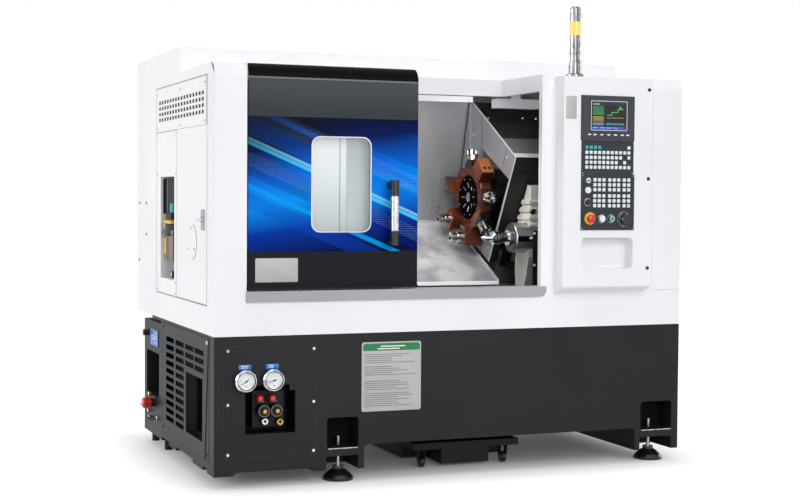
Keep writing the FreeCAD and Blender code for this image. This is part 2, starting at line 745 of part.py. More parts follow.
def make_slant_bed():
    """Cast bed with a slanted face, two box ways for the saddle and a flat front way."""
    body = new_body("slant_bed")
    face = S.bed_face
    back = slant(1418, face)
    front_z = S.front_way_z
    slope_foot = (front_z - face * COS) / SIN
    pad(body, "YZ_Plane", S.bed_left, S.bed_right, polygon(
        (S.front_way_y, S.base_top), (S.front_way_y, front_z), slant(slope_foot, face), back,
        (1250, S.base_top)))
    top = face + S.way_height
    for low in (S.way_low, S.way_high):
        pad(body, "YZ_Plane", S.bed_left + 340, S.bed_right, polygon(
            slant(low, face - 1), slant(low + S.way_width, face - 1),
            slant(low + S.way_width, top), slant(low, top)))
    cut(body, "YZ_Plane", S.bed_left + 340, S.bed_right + 1, box(
        S.front_way_y + 40, front_z - 14, S.front_way_y + 62, front_z + 1))


def guard_profile(out, thick):
    """Bent sheet behind and below the tools: back wall, floor and a short front lip.

    The sheet lies the given distance outside the visible wall and floor.
    """
    wall_dy = S.corner_y.value - S.wall_top_y.value
    wall_dz = S.corner_z.value - S.wall_top_z.value
    floor_dy = S.corner_y.value - S.floor_front_y.value
    floor_dz = S.corner_z.value - S.floor_front_z.value
    wall_length = math.hypot(wall_dy, wall_dz)
    floor_length = math.hypot(floor_dy, floor_dz)
    wall_out = (-wall_dz / wall_length, wall_dy / wall_length)
    floor_out = (floor_dz / floor_length, -floor_dy / floor_length)
    spread = (wall_out[0] + floor_out[0], wall_out[1] + floor_out[1])
    reach = 2 / (spread[0] ** 2 + spread[1] ** 2)

    def moved(distance):
        top = (S.wall_top_y + distance * wall_out[0], S.wall_top_z + distance * wall_out[1])
        corner = (S.corner_y + distance * reach * spread[0],
                  S.corner_z + distance * reach * spread[1])
        front = (S.floor_front_y + distance * floor_out[0],
                 S.floor_front_z + distance * floor_out[1])
        return top, corner, front

    inner = moved(out)
    outer = moved(out + thick)
    slope = floor_dz / floor_dy
    lip_z = S.floor_front_z - S.floor_lip
    lip_front = S.floor_front_y + out
    lip_back = lip_front + thick
    inner_z = inner[2][1] + (lip_front - inner[2][0]) * slope
    outer_z = outer[2][1] + (lip_back - outer[2][0]) * slope
    return [inner[0], inner[1], (lip_front, inner_z), (lip_front, lip_z), (lip_back, lip_z),
            (lip_back, outer_z), outer[1], outer[0]]


def make_fixed_way_cover():
    """Left wall round the spindle nose with the fixed part of the back wall and floor."""
    body = new_body("fixed_way_cover")
    left = S.guard_left
    wall = 4
    profile = guard_profile(0, 2)
    pad(body, "YZ_Plane", left, S.guard_seam, polygon(*profile))
    front = S.panel_front + 4
    pad(body, "YZ_Plane", left, left + wall, polygon(
        (front, S.floor_front_z), (S.floor_front_y, S.floor_front_z),
        (S.corner_y, S.corner_z), (S.wall_top_y, S.wall_top_z), (front, S.wall_top_z)))
    cut(body, "YZ_Plane", left - 1, left + wall + 1, circle(
        S.spindle_y, S.spindle_z, S.nose_radius + 20))


def make_sliding_way_cover():
    """Back wall and floor sheet that follow the saddle under the fixed sheet."""
    body = new_body("sliding_way_cover")
    profile = guard_profile(3, 2)
    pad(body, "YZ_Plane", S.slide_start, S.cheek_x - 3, polygon(*profile))
    inner = profile[1]
    front = profile[2]
    rise = 12
    pad(body, "YZ_Plane", S.cheek_x - 6, S.cheek_x - 3, polygon(
        (front[0], front[1] - 1), (inner[0], inner[1] - 1), (inner[0] - 4, inner[1] + rise - 2),
        (front[0], front[1] + rise)))


def make_right_guard():
    """Dark guard in front of the tailstock with a low floor behind it and an end plate."""
    body = new_body("right_guard")
    left = 1600
    right = 1965
    thick = 3
    pad(body, "XZ_Plane", 98, 98 + thick, box(1591, 870, right, 1135))
    pad(body, "YZ_Plane", right - thick, right, polygon(
        (98, 870), (403, 858), (520, 963), (520, 1020), (400, 1135), (98, 1135)))
    pad(body, "YZ_Plane", left + 40, right, polygon(
        (400, 858), (403, 858), (403, 904), (520, 963), (519, 966), (400, 906)))
    pad(body, "XZ_Plane", S.panel_front + 4, 99, box(right - 60, 858, right, 1100))


# ---------------------------------------------------------------- headstock and spindle

def make_headstock():
    """Headstock casting on the bed with the bearing bore for the spindle."""
    body = new_body("headstock")
    face = S.bed_face
    foot = (S.front_way_z - face * COS) / SIN
    pad(body, "YZ_Plane", S.head_left, S.head_right, polygon(
        (300, S.front_way_z), slant(foot, face), slant(foot + 200, face), (560, 1010),
        (470, 1140), (430, 1230), (200, 1230), (150, 1180), (150, 990), (240, 870)))
    cut(body, "YZ_Plane", S.head_left - 1, S.head_right + 1, circle(
        S.spindle_y, S.spindle_z, S.bearing_radius + S.bearing_gap))


def make_spindle():
    """Hollow spindle with its nose flange and the rotary clamping cylinder at its rear end."""
    body = new_body("spindle")
    bore = S.bar_bore
    start = S.head_left - 180
    length = S.chuck_start - start
    revolve(body, (bore, 0), (40, 0), (40, 30), (88, 30), (88, 110), (60, 125), (60, 176),
            (S.bearing_radius, 176), (S.bearing_radius, S.head_right - start + 1),
            (S.nose_radius, S.head_right - start + 3), (S.nose_radius, length), (bore, length))
    place(body, start, S.spindle_y, S.spindle_z, ALONG_X)


def make_chuck_body():
    """Round chuck body with three radial jaw slots and a through bore."""
    body = new_body("chuck_body")
    revolve(body, (S.bar_bore, 0), (S.chuck_radius, 0), (S.chuck_radius, S.chuck_length - 6),
            (S.chuck_radius - 6, S.chuck_length), (S.bar_bore, S.chuck_length))
    slot = cut(body, "XY_Plane", S.chuck_length - 22, S.chuck_length + 1, box(
        -S.jaw_width / 2, 30, S.jaw_width / 2, S.chuck_radius + 1))
    spin(body, slot, 3)
    ring = cut(body, "XY_Plane", -1, S.chuck_length - 24, circle(0, 62, 5))
    spin(body, ring, 6)
    place(body, S.chuck_start, S.spindle_y, S.spindle_z, ALONG_X)


def make_chuck_jaw(label, turn):
    """Stepped jaw that slides in a radial slot of the chuck."""
    body = new_body(label)
    half = S.jaw_width / 2 - 0.3
    base = S.chuck_length - 21.7
    pad(body, "YZ_Plane", -half, half, polygon(
        (34, base), (92, base), (92, S.chuck_length + 16), (74, S.chuck_length + 16),
        (74, S.chuck_length + 30), (54, S.chuck_length + 30), (54, S.chuck_length + 44),
        (34, S.chuck_length + 44)))
    place(body, S.chuck_start, S.spindle_y, S.spindle_z,
          ALONG_X.multiply(FreeCAD.Rotation(V(0, 0, 1), turn)))


# ---------------------------------------------------------------- saddle and turret

def make_saddle():
    """Saddle on the two bed ways with two cross ways and lugs that carry the covers."""
    body = new_body("saddle")
    foot = S.bed_face + S.way_height + 0.3
    low = S.way_low - 25
    high = S.way_high + S.way_width + 22
    keeper = foot - 24
    top = S.saddle_top
    pad(body, "YZ_Plane", S.saddle_left, S.saddle_right, polygon(
        slant(low, keeper), slant(S.way_low - 0.3, keeper), slant(S.way_low - 0.3, foot),
        slant(S.way_high + S.way_width + 0.3, foot),
        slant(S.way_high + S.way_width + 0.3, keeper), slant(high, keeper), slant(high, top),
        slant(low, top)))
    for left in (S.saddle_left + 20, S.saddle_right - 60):
        pad(body, "YZ_Plane", left, left + 40, polygon(
            slant(low, top - 1), slant(high, top - 1), slant(high, top + 30),
            slant(low, top + 30)))
    profile = guard_profile(5, 2)
    corner = profile[1]
    front = profile[2]
    share = 0.62
    lug_y = front[0] + (corner[0] - front[0]) * share
    lug_z = front[1] + (corner[1] - front[1]) * share
    end_y = front[0] + (corner[0] - front[0]) * 0.74
    end_z = front[1] + (corner[1] - front[1]) * 0.74
    pad(body, "YZ_Plane", S.cheek_x - 40, S.saddle_left + 10, polygon(
        (lug_y, lug_z), (end_y, end_z), slant(1250, foot + 8), slant(1180, foot + 8)))


def make_saddle_cover():
    """Folded sheet cover round the turret slide: slanted top, front plates and left cheek."""
    body = new_body("saddle_cover")
    thick = 3
    left = S.cheek_x
    right = S.cover_end
    front = S.cover_front
    top = S.cover_slope
    back = S.cover_back
    pad(body, "YZ_Plane", left - S.cheek_sheet, right, polygon(
        slant(back, top), slant(front, top), slant(front, S.cover_low),
        slant(front + thick, S.cover_low), slant(front + thick, top - thick),
        slant(back, top - thick)))
    wall_gap = 12
    lower_wall = (S.corner_y - wall_gap * 2.2, S.corner_z + wall_gap)
    pad(body, "YZ_Plane", left - S.cheek_sheet, left, polygon(
        slant(back, top - 1), slant(front + 1, top - 1), slant(front + 1, S.cover_low + 2),
        slant(front, S.cover_low), slant(front, 574), lower_wall,
        (S.wall_top_y - wall_gap, S.wall_top_z - 8)))
    cut(body, "YZ_Plane", left - S.cheek_sheet - 1, left + 1, polygon(
        slant(front + 14, 1045), (610, 1538), (610, 1450), (800, 1450), (858, 1240),
        (640, 1075), slant(front + 14, 730)))
    pad(body, "YZ_Plane", right - 3, right, polygon(
        slant(back, top), slant(front, top), slant(front, S.cover_low), slant(back, 900)))
    pad(body, "YZ_Plane", left, left + 4, polygon(
        slant(front, 574), slant(front + 20, 574), slant(front + 20, S.cover_low + 5),
        slant(front, S.cover_low + 5)))
    for start, end, low in ((left, left + 42, 574), (left + 62, left + 116, 545)):
        pad(body, "YZ_Plane", start, end, polygon(
            slant(front, low), slant(front + thick, low), slant(front + thick, S.cover_low + 2),
            slant(front, S.cover_low + 2)))


def make_turret_housing():
    """Cross slide on the saddle with the black turret head standing on it."""
    body = new_body("turret_housing")
    foot = S.saddle_top + 30.3
    centre_s = S.turret_y * COS + S.turret_z * SIN
    centre_n = S.turret_z * COS - S.turret_y * SIN
    low = centre_s - 145
    high = centre_s + 175
    pad(body, "YZ_Plane", S.saddle_left + 6, S.saddle_right - 10, polygon(
        slant(low, foot), slant(high, foot), slant(high, foot + 50), slant(low, foot + 50)))
    half = 125
    chamfer = 45
    top = centre_n + half
    pad(body, "YZ_Plane", S.cheek_x + 42, S.saddle_right - 60, polygon(
        slant(centre_s - half, foot + 49), slant(centre_s + half, foot + 49),
        slant(centre_s + half, top - chamfer), slant(centre_s + half - chamfer, top),
        slant(centre_s - half + chamfer, top), slant(centre_s - half, top - chamfer)))
    pad(body, "YZ_Plane", S.disc_x + S.disc_thick + 1, S.cheek_x + 43, circle(
        S.turret_y, S.turret_z, half + 3))
    cut(body, "YZ_Plane", S.disc_x, S.saddle_right - 100, circle(
        S.turret_y, S.turret_z, S.turret_shaft + S.bearing_gap))


def make_turret_disc():
    """Copper-coloured turret disc with eight flat tool seats and its shaft."""
    body = new_body("turret_disc")
    radius = S.disc_radius
    thick = S.disc_thick
    revolve(body, (S.cap_radius + 0.3, 0), (radius - 4, 0), (radius, 4), (radius, thick),
            (S.turret_shaft, thick), (S.turret_shaft, 300), (0, 300), (0, 14),
            (S.cap_radius + 0.3, 14))
    seat = cut(body, "XY_Plane", -1, thick + 1, box(-60, S.seat_radius, 60, radius + 10))
    spin(body, seat, 8)
    place(body, S.disc_x, S.turret_y, S.turret_z, ALONG_X)


def make_turret_cap():
    """Black dished cap in the middle of the turret disc."""
    body = new_body("turret_cap")
    radius = S.cap_radius
    hub = 36
    revolve(body, (0, 0), (radius, 0), (radius, -14), (radius - 6, -18), (radius - 34, -18),
            (hub + 6, -5), (hub, -12), (0, -12))
    slot = cut(body, "XY_Plane", -20, -5, box(-3, hub + 10, 3, radius - 40))
    spin(body, slot, 8)
    place(body, S.disc_x + 14, S.turret_y, S.turret_z, ALONG_X)


def station(angle, outward, sideways):
    """A point on the turret face; the angle counts from the top towards the machine's front."""
    turn = math.radians(angle)
    x = -math.sin(turn) * size(outward) + math.cos(turn) * size(sideways)
    y = math.cos(turn) * size(outward) + math.sin(turn) * size(sideways)
    return x, y


def station_box(angle, near, far, half_width):
    return polygon(station(angle, near, -half_width), station(angle, near, half_width),
                   station(angle, far, half_width), station(angle, far, -half_width))


LOW_STATION = 180
FACE_STATION = 225
RADIAL_STATIONS = (0, 90, 135)
BORED_STATION = 45
FORK_STATION = 270
SPARE_STATION = 315
AXIAL_CHUCKS = ((LOW_STATION, 206, -35), (FACE_STATION, 161, -56))
FORK_OUTLINE = ((118, -102), (196, -108), (210, -100), (198, -86), (166, -82), (158, -70),
                (158, -56), (166, -44), (198, -42), (210, -30), (196, -20), (118, -24))


def make_tool_blocks():
    """Tool holders on the turret seats: axial, radial, twin-bore, forked and blank blocks."""
    body = new_body("tool_blocks", separate_solids=True)
    seat = S.seat_radius
    thick = S.disc_thick
    near_face = 118
    pad(body, "XY_Plane", -35, thick - 2, station_box(LOW_STATION, seat, 246, 42))
    cut(body, "XY_Plane", -36, 5, station_box(LOW_STATION, seat - 1, seat + 14, 43))
    pad(body, "XY_Plane", -56, 0, station_box(FACE_STATION, near_face, 202, 40))
    for angle in RADIAL_STATIONS:
        pad(body, "XY_Plane", 2, thick, station_box(angle, seat, seat + 22, 42))
        pad(body, "XY_Plane", 6, thick - 4, station_box(angle, seat + 21, seat + 36, 33))
    pad(body, "XY_Plane", -10, thick, station_box(BORED_STATION, seat, 228, 52))
    for along in (12, 38):
        side = station(BORED_STATION, 190, -20)
        direction = V(*(step.value for step in station(BORED_STATION, 1, 0)), 0)
        add_round(body, "Subtractive", 9, 60, (side[0], side[1], along), direction)
    pad(body, "XY_Plane", -38, 0, polygon(
        *(station(FORK_STATION, out, aside) for out, aside in FORK_OUTLINE)))
    pad(body, "XY_Plane", 3, thick, station_box(SPARE_STATION, seat, seat + 16, 40))
    place(body, S.disc_x, S.turret_y, S.turret_z, ALONG_X)


def make_collet_chucks():
    """Collet chucks in the axial and radial tool holders: base, slotted nut and bore."""
    body = new_body("collet_chucks", separate_solids=True)
    middle = 25
    back = V(0, 0, -1)
    chucks = [(station(angle, out, 0), level, back) for angle, out, level in AXIAL_CHUCKS]
    for angle in RADIAL_STATIONS:
        outward = V(*(step.value for step in station(angle, 1, 0)), 0)
        chucks.append((station(angle, S.seat_radius + 36, 0), middle, outward))
    for (x, y), level, direction in chucks:
        axial = direction is back
        base_length = 28 if axial else 22
        nose_length = 34 if axial else 30
        add_round(body, "Additive", S.chuck_base, base_length, (x, y, level), direction)
        reach = direction * base_length
        start = (x + reach.x, y + reach.y, level + reach.z)
        add_round(body, "Additive", S.chuck_nose, nose_length, start, direction)
        reach = direction * 8
        mouth = (start[0] + reach.x, start[1] + reach.y, start[2] + reach.z)
        add_round(body, "Subtractive", 11, 40, mouth, direction)
    place(body, S.disc_x, S.turret_y, S.turret_z, ALONG_X)


# ---------------------------------------------------------------- tailstock

def make_tailstock_body():
    """Tailstock casting: foot on the front way, column, hub and the ribbed upright behind."""
    body = new_body("tailstock_body")
    foot = S.front_way_z + 0.3
    right = S.tail_right
    y = S.spindle_y
    z = S.spindle_z
    pad(body, "YZ_Plane", 1640, right, polygon(
        (292, foot), (386, foot), (386, 857), (392, 930), (388, 1000), (345, 1092),
        (255, 1092), (240, 1000), (270, 900), (292, 857)))
    pad(body, "YZ_Plane", S.hub_start, S.hub_end, circle(y, z, S.hub_radius))
    soften(body, "Fillet", 10, (S.hub_start, y, z + S.hub_radius))
    pad(body, "YZ_Plane", S.hub_end - 1, right, circle(y, z, 55))
    back = 928
    pad(body, "YZ_Plane", 1655, right, polygon(
        slant(back - 150, 840), slant(back - 26, 740), slant(back, 790), slant(back, 1028),
        slant(back - 36, 1040), slant(back - 60, 1000)))
    for step in range(4):
        low = 1146 + step * 38
        rim = 242
        pad(body, "YZ_Plane", 1645, right, polygon(
            (rim + 8, low), ((926 - low * SIN) / COS, low),
            ((926 - (low + 22) * SIN) / COS, low + 22), (rim + 8, low + 22), (rim, low + 14),
            (rim, low + 6)))
    pad(body, "YZ_Plane", 1642, 1722, circle(y - S.hub_radius - 3, z, 6))
    cut(body, "YZ_Plane", S.hub_start - 1, right - 20, circle(
        y, z, S.quill_radius + S.bearing_gap))


def make_tailstock_quill():
    """Quill that slides in the hub, with its front collar and the socket for the centre."""
    body = new_body("tailstock_quill")
    start = S.quill_start
    collar = 32
    socket = 42
    revolve(body, (12.05, 0), (26, 0), (26, collar), (39, collar), (39, collar + 13),
            (S.quill_radius, collar + 13), (S.quill_radius, 260), (0, 260), (0, socket),
            (12.05, socket))
    place(body, start, S.spindle_y, S.spindle_z, ALONG_X)


def make_live_centre():
    """Live centre: pointed nose, bearing housing and a shank that turns in the quill."""
    body = new_body("live_centre")
    nose = S.centre_front - S.centre_tip
    head = S.quill_start - S.centre_tip - 0.3
    shank = 40
    revolve(body, (0, 0), (12, 21), (14, nose), (27, nose), (34, nose + 7), (34, head - 10),
            (30, head), (12, head), (12, head + shank), (0, head + shank))
    place(body, S.centre_tip, S.spindle_y, S.spindle_z, ALONG_X)


# ---------------------------------------------------------------- control box

PRESSED_HOLES = ((1798, 1194, 11.4), (1861, 1194, 9.4), (1913, 1194, 9.4))
TURNED_HOLES = ((1984, 1193, 8.4), (1785, 1375, 7.4), (1786, 1272, 7.4))


def make_control_box():
    """Control box on the front cover with a sloping underside and a tray pocket."""
    body = new_body("control_box")
    front = -S.box_front
    pad(body, "YZ_Plane", S.box_left, S.box_right, polygon(
        (0, S.box_foot), (front + 6, S.box_low), (front, S.box_low + 8), (front, S.box_top),
        (0, S.box_top)))
    cut(body, "XZ_Plane", front - 1, -8, rounded(1757, 956, 2035, 1104, 20))
    stem_room = 14
    cut(body, "XZ_Plane", front - 1, front + stem_room,
        *(circle(x, z, radius) for x, z, radius in PRESSED_HOLES))


def make_display_unit():
    """Display with a raised bezel, a sunken screen, soft keys and a card slot door."""
    body = new_body("display_unit")
    face = -S.box_front
    thick = S.plate_thick
    pad(body, "XZ_Plane", face - thick, face, box(
        1747, S.display_bottom, S.panel_end - 3, S.display_top))
    pad(body, "XZ_Plane", face - thick - 3, face - thick, box(1797, 1612, 1993, 1752))
    cut(body, "XZ_Plane", face - thick - 4, face - thick, box(1804, 1618, 1983, 1742))
    pad(body, "XZ_Plane", face - thick - 2, face - thick, box(1756, 1644, 1786, 1717))
    keys = [box(x - 8, 1585, x + 8, 1599) for x in (1791, 1820, 1857, 1894, 1931, 1967, 1997)]
    pad(body, "XZ_Plane", face - thick - 2, face - thick, *keys)


KEY_ROWS = (
    (1532, 0, 4), (1508, 0, 10), (1484, 0, 9), (1461, 0, 8), (1461, 9, 1), (1438, 0, 11),
)


def make_keyboard_unit():
    """Keyboard plate with rows of raised keys and one tall column at the right."""
    body = new_body("keyboard_unit")
    face = -S.box_front
    thick = S.plate_thick
    pad(body, "XZ_Plane", face - thick, face, box(
        S.panel_left, S.keyboard_bottom + 0.5, S.panel_end - 6, S.keyboard_top))
    first = 1778
    for level, start, count in KEY_ROWS:
        left = first + start * 22.7
        key = pad(body, "XZ_Plane", face - thick - 2, face - thick, box(
            left - 8, level - 8, left + 8, level + 8))
        if count > 1:
            repeat(body, key, (("H_Axis", S.key_pitch * (count - 1), count),))
    column = first + S.key_pitch * 10
    key = pad(body, "XZ_Plane", face - thick - 2, face - thick, box(
        column - 8, 1476, column + 8, 1492))
    repeat(body, key, (("V_Axis", 48, 3),))


def make_operator_panel():
    """Operator panel with key blocks and the bores of the switches."""
    body = new_body("operator_panel")
    face = -S.box_front
    thick = S.plate_thick
    pad(body, "XZ_Plane", face - thick, face, box(
        S.panel_left, S.operator_bottom, S.panel_end, S.operator_top))
    for left, columns in ((1823, 3), (1903, 3), (1982, 2)):
        for low in (1332, 1256):
            key = pad(body, "XZ_Plane", face - thick - 2, face - thick, box(
                left - 8, low - 8, left + 8, low + 8))
            repeat(body, key, (("H_Axis", 24.4 * (columns - 1), columns), ("V_Axis", 46.5, 3)))
    pad(body, "XZ_Plane", face - thick - 5, face - thick, circle(1786, 1329, 14))
    pad(body, "XZ_Plane", face - thick - 4, face - thick, circle(1798, 1194, 27))
    holes = [circle(x, z, radius) for x, z, radius in PRESSED_HOLES + TURNED_HOLES]
    cut(body, "XZ_Plane", face - thick - 5, face + 1, *holes)


PANEL_FACE = S.box_front + S.plate_thick


def make_push_button(label, x, z, stem, cap, height):
    """Round push button with a stem that slides in the operator panel."""
    body = new_body(label)
    revolve(body, (0, -3.5), (stem, -3.5), (stem, 7), (cap, 7), (cap, height - 2),
            (cap - 2, height), (0, height))
    place(body, x, -PANEL_FACE, z, FACING_FRONT)


def make_emergency_stop():
    """Mushroom-headed emergency stop on a collar."""
    body = new_body("emergency_stop")
    revolve(body, (0, -3.5), (11, -3.5), (11, 12), (17, 12), (20, 16), (20, 24), (16, 29),
            (8, 31), (0, 31))
    place(body, 1798, -PANEL_FACE, 1194, FACING_FRONT)


def make_rotary_switch(label, x, z, stem, radius, height, grips):
    """Turned knob with grip notches round its skirt."""
    body = new_body(label)
    revolve(body, (0, -3.5), (stem, -3.5), (stem, 1), (radius, 1), (radius, height * 0.4),
            (radius * 0.8, height * 0.45), (radius * 0.76, height - 2),
            (radius * 0.7, height), (0, height))
    notch = cut(body, "XY_Plane", height * 0.45, height + 1, circle(0, radius * 0.84, radius * 0.11))
    spin(body, notch, grips)
    place(body, x, -PANEL_FACE, z, FACING_FRONT)


def make_key_switch():
    """Key switch: round barrel with the bow of its key."""
    body = new_body("key_switch")
    revolve(body, (0, -3.5), (7, -3.5), (7, 1), (13, 1), (13, 9), (10, 11), (0, 11))
    pad(body, "YZ_Plane", -1.5, 1.5, box(-5, 10, 5, 26))
    place(body, 1785, -PANEL_FACE, 1375, FACING_FRONT)


# ---------------------------------------------------------------- signal tower

def make_tower_stand():
    """Signal tower: flange, tube of clear segments and a cap, joined by a thin core."""
    body = new_body("tower_stand")
    radius = S.tower_radius
    base = S.cover_top
    core = 9
    revolve(body, (0, base), (45, base), (45, base + 8), (radius + 2, base + 14),
            (radius + 2, base + 70), (radius - 1, base + 74), (radius - 1, base + 104),
            (radius, base + 108), (radius, S.lens_bottom), (core, S.lens_bottom),
            (core, S.lens_top), (radius, S.lens_top), (radius, S.tower_top - 8),
            (radius - 8, S.tower_top), (0, S.tower_top))
    place(body, S.tower_x, S.tower_y, 0)


def make_tower_lens():
    """Amber lens ring of the signal tower."""
    body = new_body("tower_lens")
    radius = S.tower_radius + 1
    revolve(body, (9.3, S.lens_bottom), (radius, S.lens_bottom), (radius, S.lens_top),
            (9.3, S.lens_top))
    place(body, S.tower_x, S.tower_y, 0)


# ---------------------------------------------------------------- coolant tank

def make_coolant_tank():
    """Open sheet-metal coolant tank: shallow front tray, deep middle and rear, wheel forks."""
    body = new_body("coolant_tank")
    left = S.tank_left
    right = S.tank_right
    wall = 4
    join = 400
    low = S.tray_bottom
    top = S.tray_top
    pad(body, "XY_Plane", low, top, box(left, S.tank_front, right, join))
    pad(body, "XY_Plane", 13, top, box(1172, S.tank_front + 8, 1420, join))
    pad(body, "XY_Plane", 18, top, box(left + 16, join - 1, right - 16, S.tank_back))
    cut(body, "XY_Plane", low + wall, top + 1, box(
        left + wall, S.tank_front + wall, right - wall, join - 1))
    cut(body, "XY_Plane", 13 + wall, top + 1, box(1172 + wall, S.tank_front + 12, 1416, join + 8))
    cut(body, "XY_Plane", 18 + wall, top + 1, box(
        left + 20, join + 4, right - 20, S.tank_back - wall))
    pad(body, "XY_Plane", low - wall, low, box(left + 16, S.tank_back - 5, right - 16, 1090))
    fork = 15
    plate = 3
    for axle_y in (S.front_axle_y, S.back_axle_y):
        for wheel_x in (S.wheel_left, S.wheel_right):
            for side in (-1, 1):
                near = wheel_x + side * fork
                start = near if side > 0 else near - plate
                pad(body, "YZ_Plane", start, start + plate, polygon(
                    (axle_y - 20, low + 1), (axle_y + 20, low + 1), (axle_y + 9, 18),
                    (axle_y - 9, 18)))
    for axle_y in (S.front_axle_y, S.back_axle_y):
        cut(body, "YZ_Plane", left, right, circle(axle_y, S.wheel_radius, 4.4))


def make_tank_wheels(label, axle_y):
    """A pair of tank wheels, each with its axle stubs in a fork."""
    body = new_body(label, separate_solids=True)
    radius = S.wheel_radius
    half = S.wheel_width / 2
    span = S.wheel_right - S.wheel_left
    feature = revolve(body, (0, -18), (4, -18), (4, -half - 1), (10, -half - 1), (12, -half),
                      (radius - 3, -half), (radius, -half + 3), (radius, half - 3),
                      (radius - 3, half), (12, half), (10, half + 1), (4, half + 1), (4, 18),
                      (0, 18))
    pattern = body.newObject("PartDesign::LinearPattern", "wheel_pair")
    pattern.Originals = [feature]
    pattern.Direction = (feature.Profile[0], ["V_Axis"])
    bind(pattern, "Length", span)
    pattern.Occurrences = 2
    body.Tip = pattern
    place(body, S.wheel_left, axle_y, radius, ALONG_X)
    doc.recompute()


# ---------------------------------------------------------------- build and write

def build():
    make_base_frame()
    make_levelling_feet()
    make_side_grille()
    make_gauge_panel()
    make_pressure_gauges()
    make_valve_block()
    make_valve_knob("valve_knob_left", 214)
    make_valve_knob("valve_knob_right", 271)
    make_hydraulic_unit()
    make_filler_cap()
    make_front_cover()
    make_left_side_cover()
    make_right_side_cover()
    make_rear_cover()
    make_vent_panel()
    make_lubricator_panel()
    make_lubricator()
    make_side_door()
    make_latch_lever()
    make_opening_frame()
    make_sill_plate()
    make_work_lights()
    make_door_panel()
    make_door_window()
    make_door_handle()
    make_slant_bed()
    make_fixed_way_cover()
    make_sliding_way_cover()
    make_right_guard()
    make_headstock()
    make_spindle()
    make_chuck_body()
    for number, turn in enumerate((0, 120, 240), start=1):
        make_chuck_jaw(f"chuck_jaw_{number}", turn)
    make_saddle()
    make_saddle_cover()
    make_turret_housing()
    make_turret_disc()
    make_turret_cap()
    make_tool_blocks()
    make_collet_chucks()
    make_tailstock_body()
    make_tailstock_quill()
    make_live_centre()
    make_control_box()
    make_display_unit()
    make_keyboard_unit()
    make_operator_panel()
    make_emergency_stop()
    make_push_button("start_button", 1861, 1194, 9, 16, 14)
    make_push_button("stop_button", 1913, 1194, 9, 16, 14)
    make_key_switch()
    make_rotary_switch("mode_knob", 1786, 1272, 7, 15, 20, 6)
    make_rotary_switch("handwheel", 1984, 1193, 8, 33, 26, 12)
    make_tower_stand()
    make_tower_lens()
    make_coolant_tank()
    make_tank_wheels("front_wheels", S.front_axle_y)
    make_tank_wheels("rear_wheels", S.back_axle_y)
    doc.recompute()


def check():
    """Stop on any failed feature, empty or invalid sub-part, or cut that removed nothing."""
    faults = [f"{item.Name}: {item.State}" for item in doc.Objects
              if "Invalid" in item.State or "Error" in item.State]
    for before, after in cuts:
        if after.Shape.isNull() or after.Shape.Volume >= before.Shape.Volume:
            faults.append(f"{after.Name} takes nothing away")
    for body in parts:
        if body.Shape.isNull() or not body.Shape.isValid():
            faults.append(f"{body.Label} has no valid shape")
    if faults:
        raise RuntimeError("\n".join(faults))


def write():
    os.makedirs("parts", exist_ok=True)
    for body in parts:
        body.Shape.exportStep(f"parts/{body.Label}.step")
    print(f"{len(parts)} sub-parts written")


build()
check()
write()
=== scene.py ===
# %% [markdown]
# A turning lathe in its workshop colours. The solids come ready made, in metres, and never move.
# This lesson gives each of them its finish and adds what is too small or too thin for them:
# screws, keys, seals, printed plates, lamps and wear. We start by loading the solids.

# %% Load the lathe
import math

import bmesh
import bpy
from mathutils import Matrix, Vector


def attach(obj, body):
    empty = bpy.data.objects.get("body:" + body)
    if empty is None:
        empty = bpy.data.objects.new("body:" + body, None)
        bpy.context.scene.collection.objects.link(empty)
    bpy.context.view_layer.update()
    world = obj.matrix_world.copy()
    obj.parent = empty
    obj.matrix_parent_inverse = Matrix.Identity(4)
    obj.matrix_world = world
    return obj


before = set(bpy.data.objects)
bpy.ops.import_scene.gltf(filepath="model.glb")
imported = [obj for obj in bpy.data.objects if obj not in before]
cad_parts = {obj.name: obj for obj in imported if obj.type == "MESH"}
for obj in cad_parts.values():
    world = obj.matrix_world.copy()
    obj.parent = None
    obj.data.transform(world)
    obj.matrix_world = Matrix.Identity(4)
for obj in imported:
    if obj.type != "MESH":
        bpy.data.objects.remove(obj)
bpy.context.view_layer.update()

scene = bpy.context.scene

# %% [markdown]
# Drawings of the machine count millimetres from the left front corner of the covers on the
# floor. The scene counts metres from the middle. One small function turns the first into the
# second, so that every later number can be read off a drawing.

# %% A point of the drawing
CORNER = Vector((1.14175, 0.7705, 0.0))
MM = 0.001


def at(x, y, z):
    """A drawing point in millimetres, as a scene point in metres."""
    return Vector((x, y, z)) * MM - CORNER


def shade(red, green, blue):
    """A colour as a picture editor shows it, 0 to 255, turned into light amounts."""
    return tuple(((c / 255 + 0.055) / 1.055) ** 2.4 if c > 10 else c / 3295
                 for c in (red, green, blue)) + (1.0,)


print("left front corner:", tuple(round(c, 3) for c in at(0, 0, 0)))

# %% [markdown]
# The camera comes first, because it decides which details will show. A picture of a machine
# this deep looks right only from the true distance: about six metres in front of the covers, at
# two thirds of the machine's height, with a lens of 66 mm. Its roll is under half a degree, but
# the edges show it.

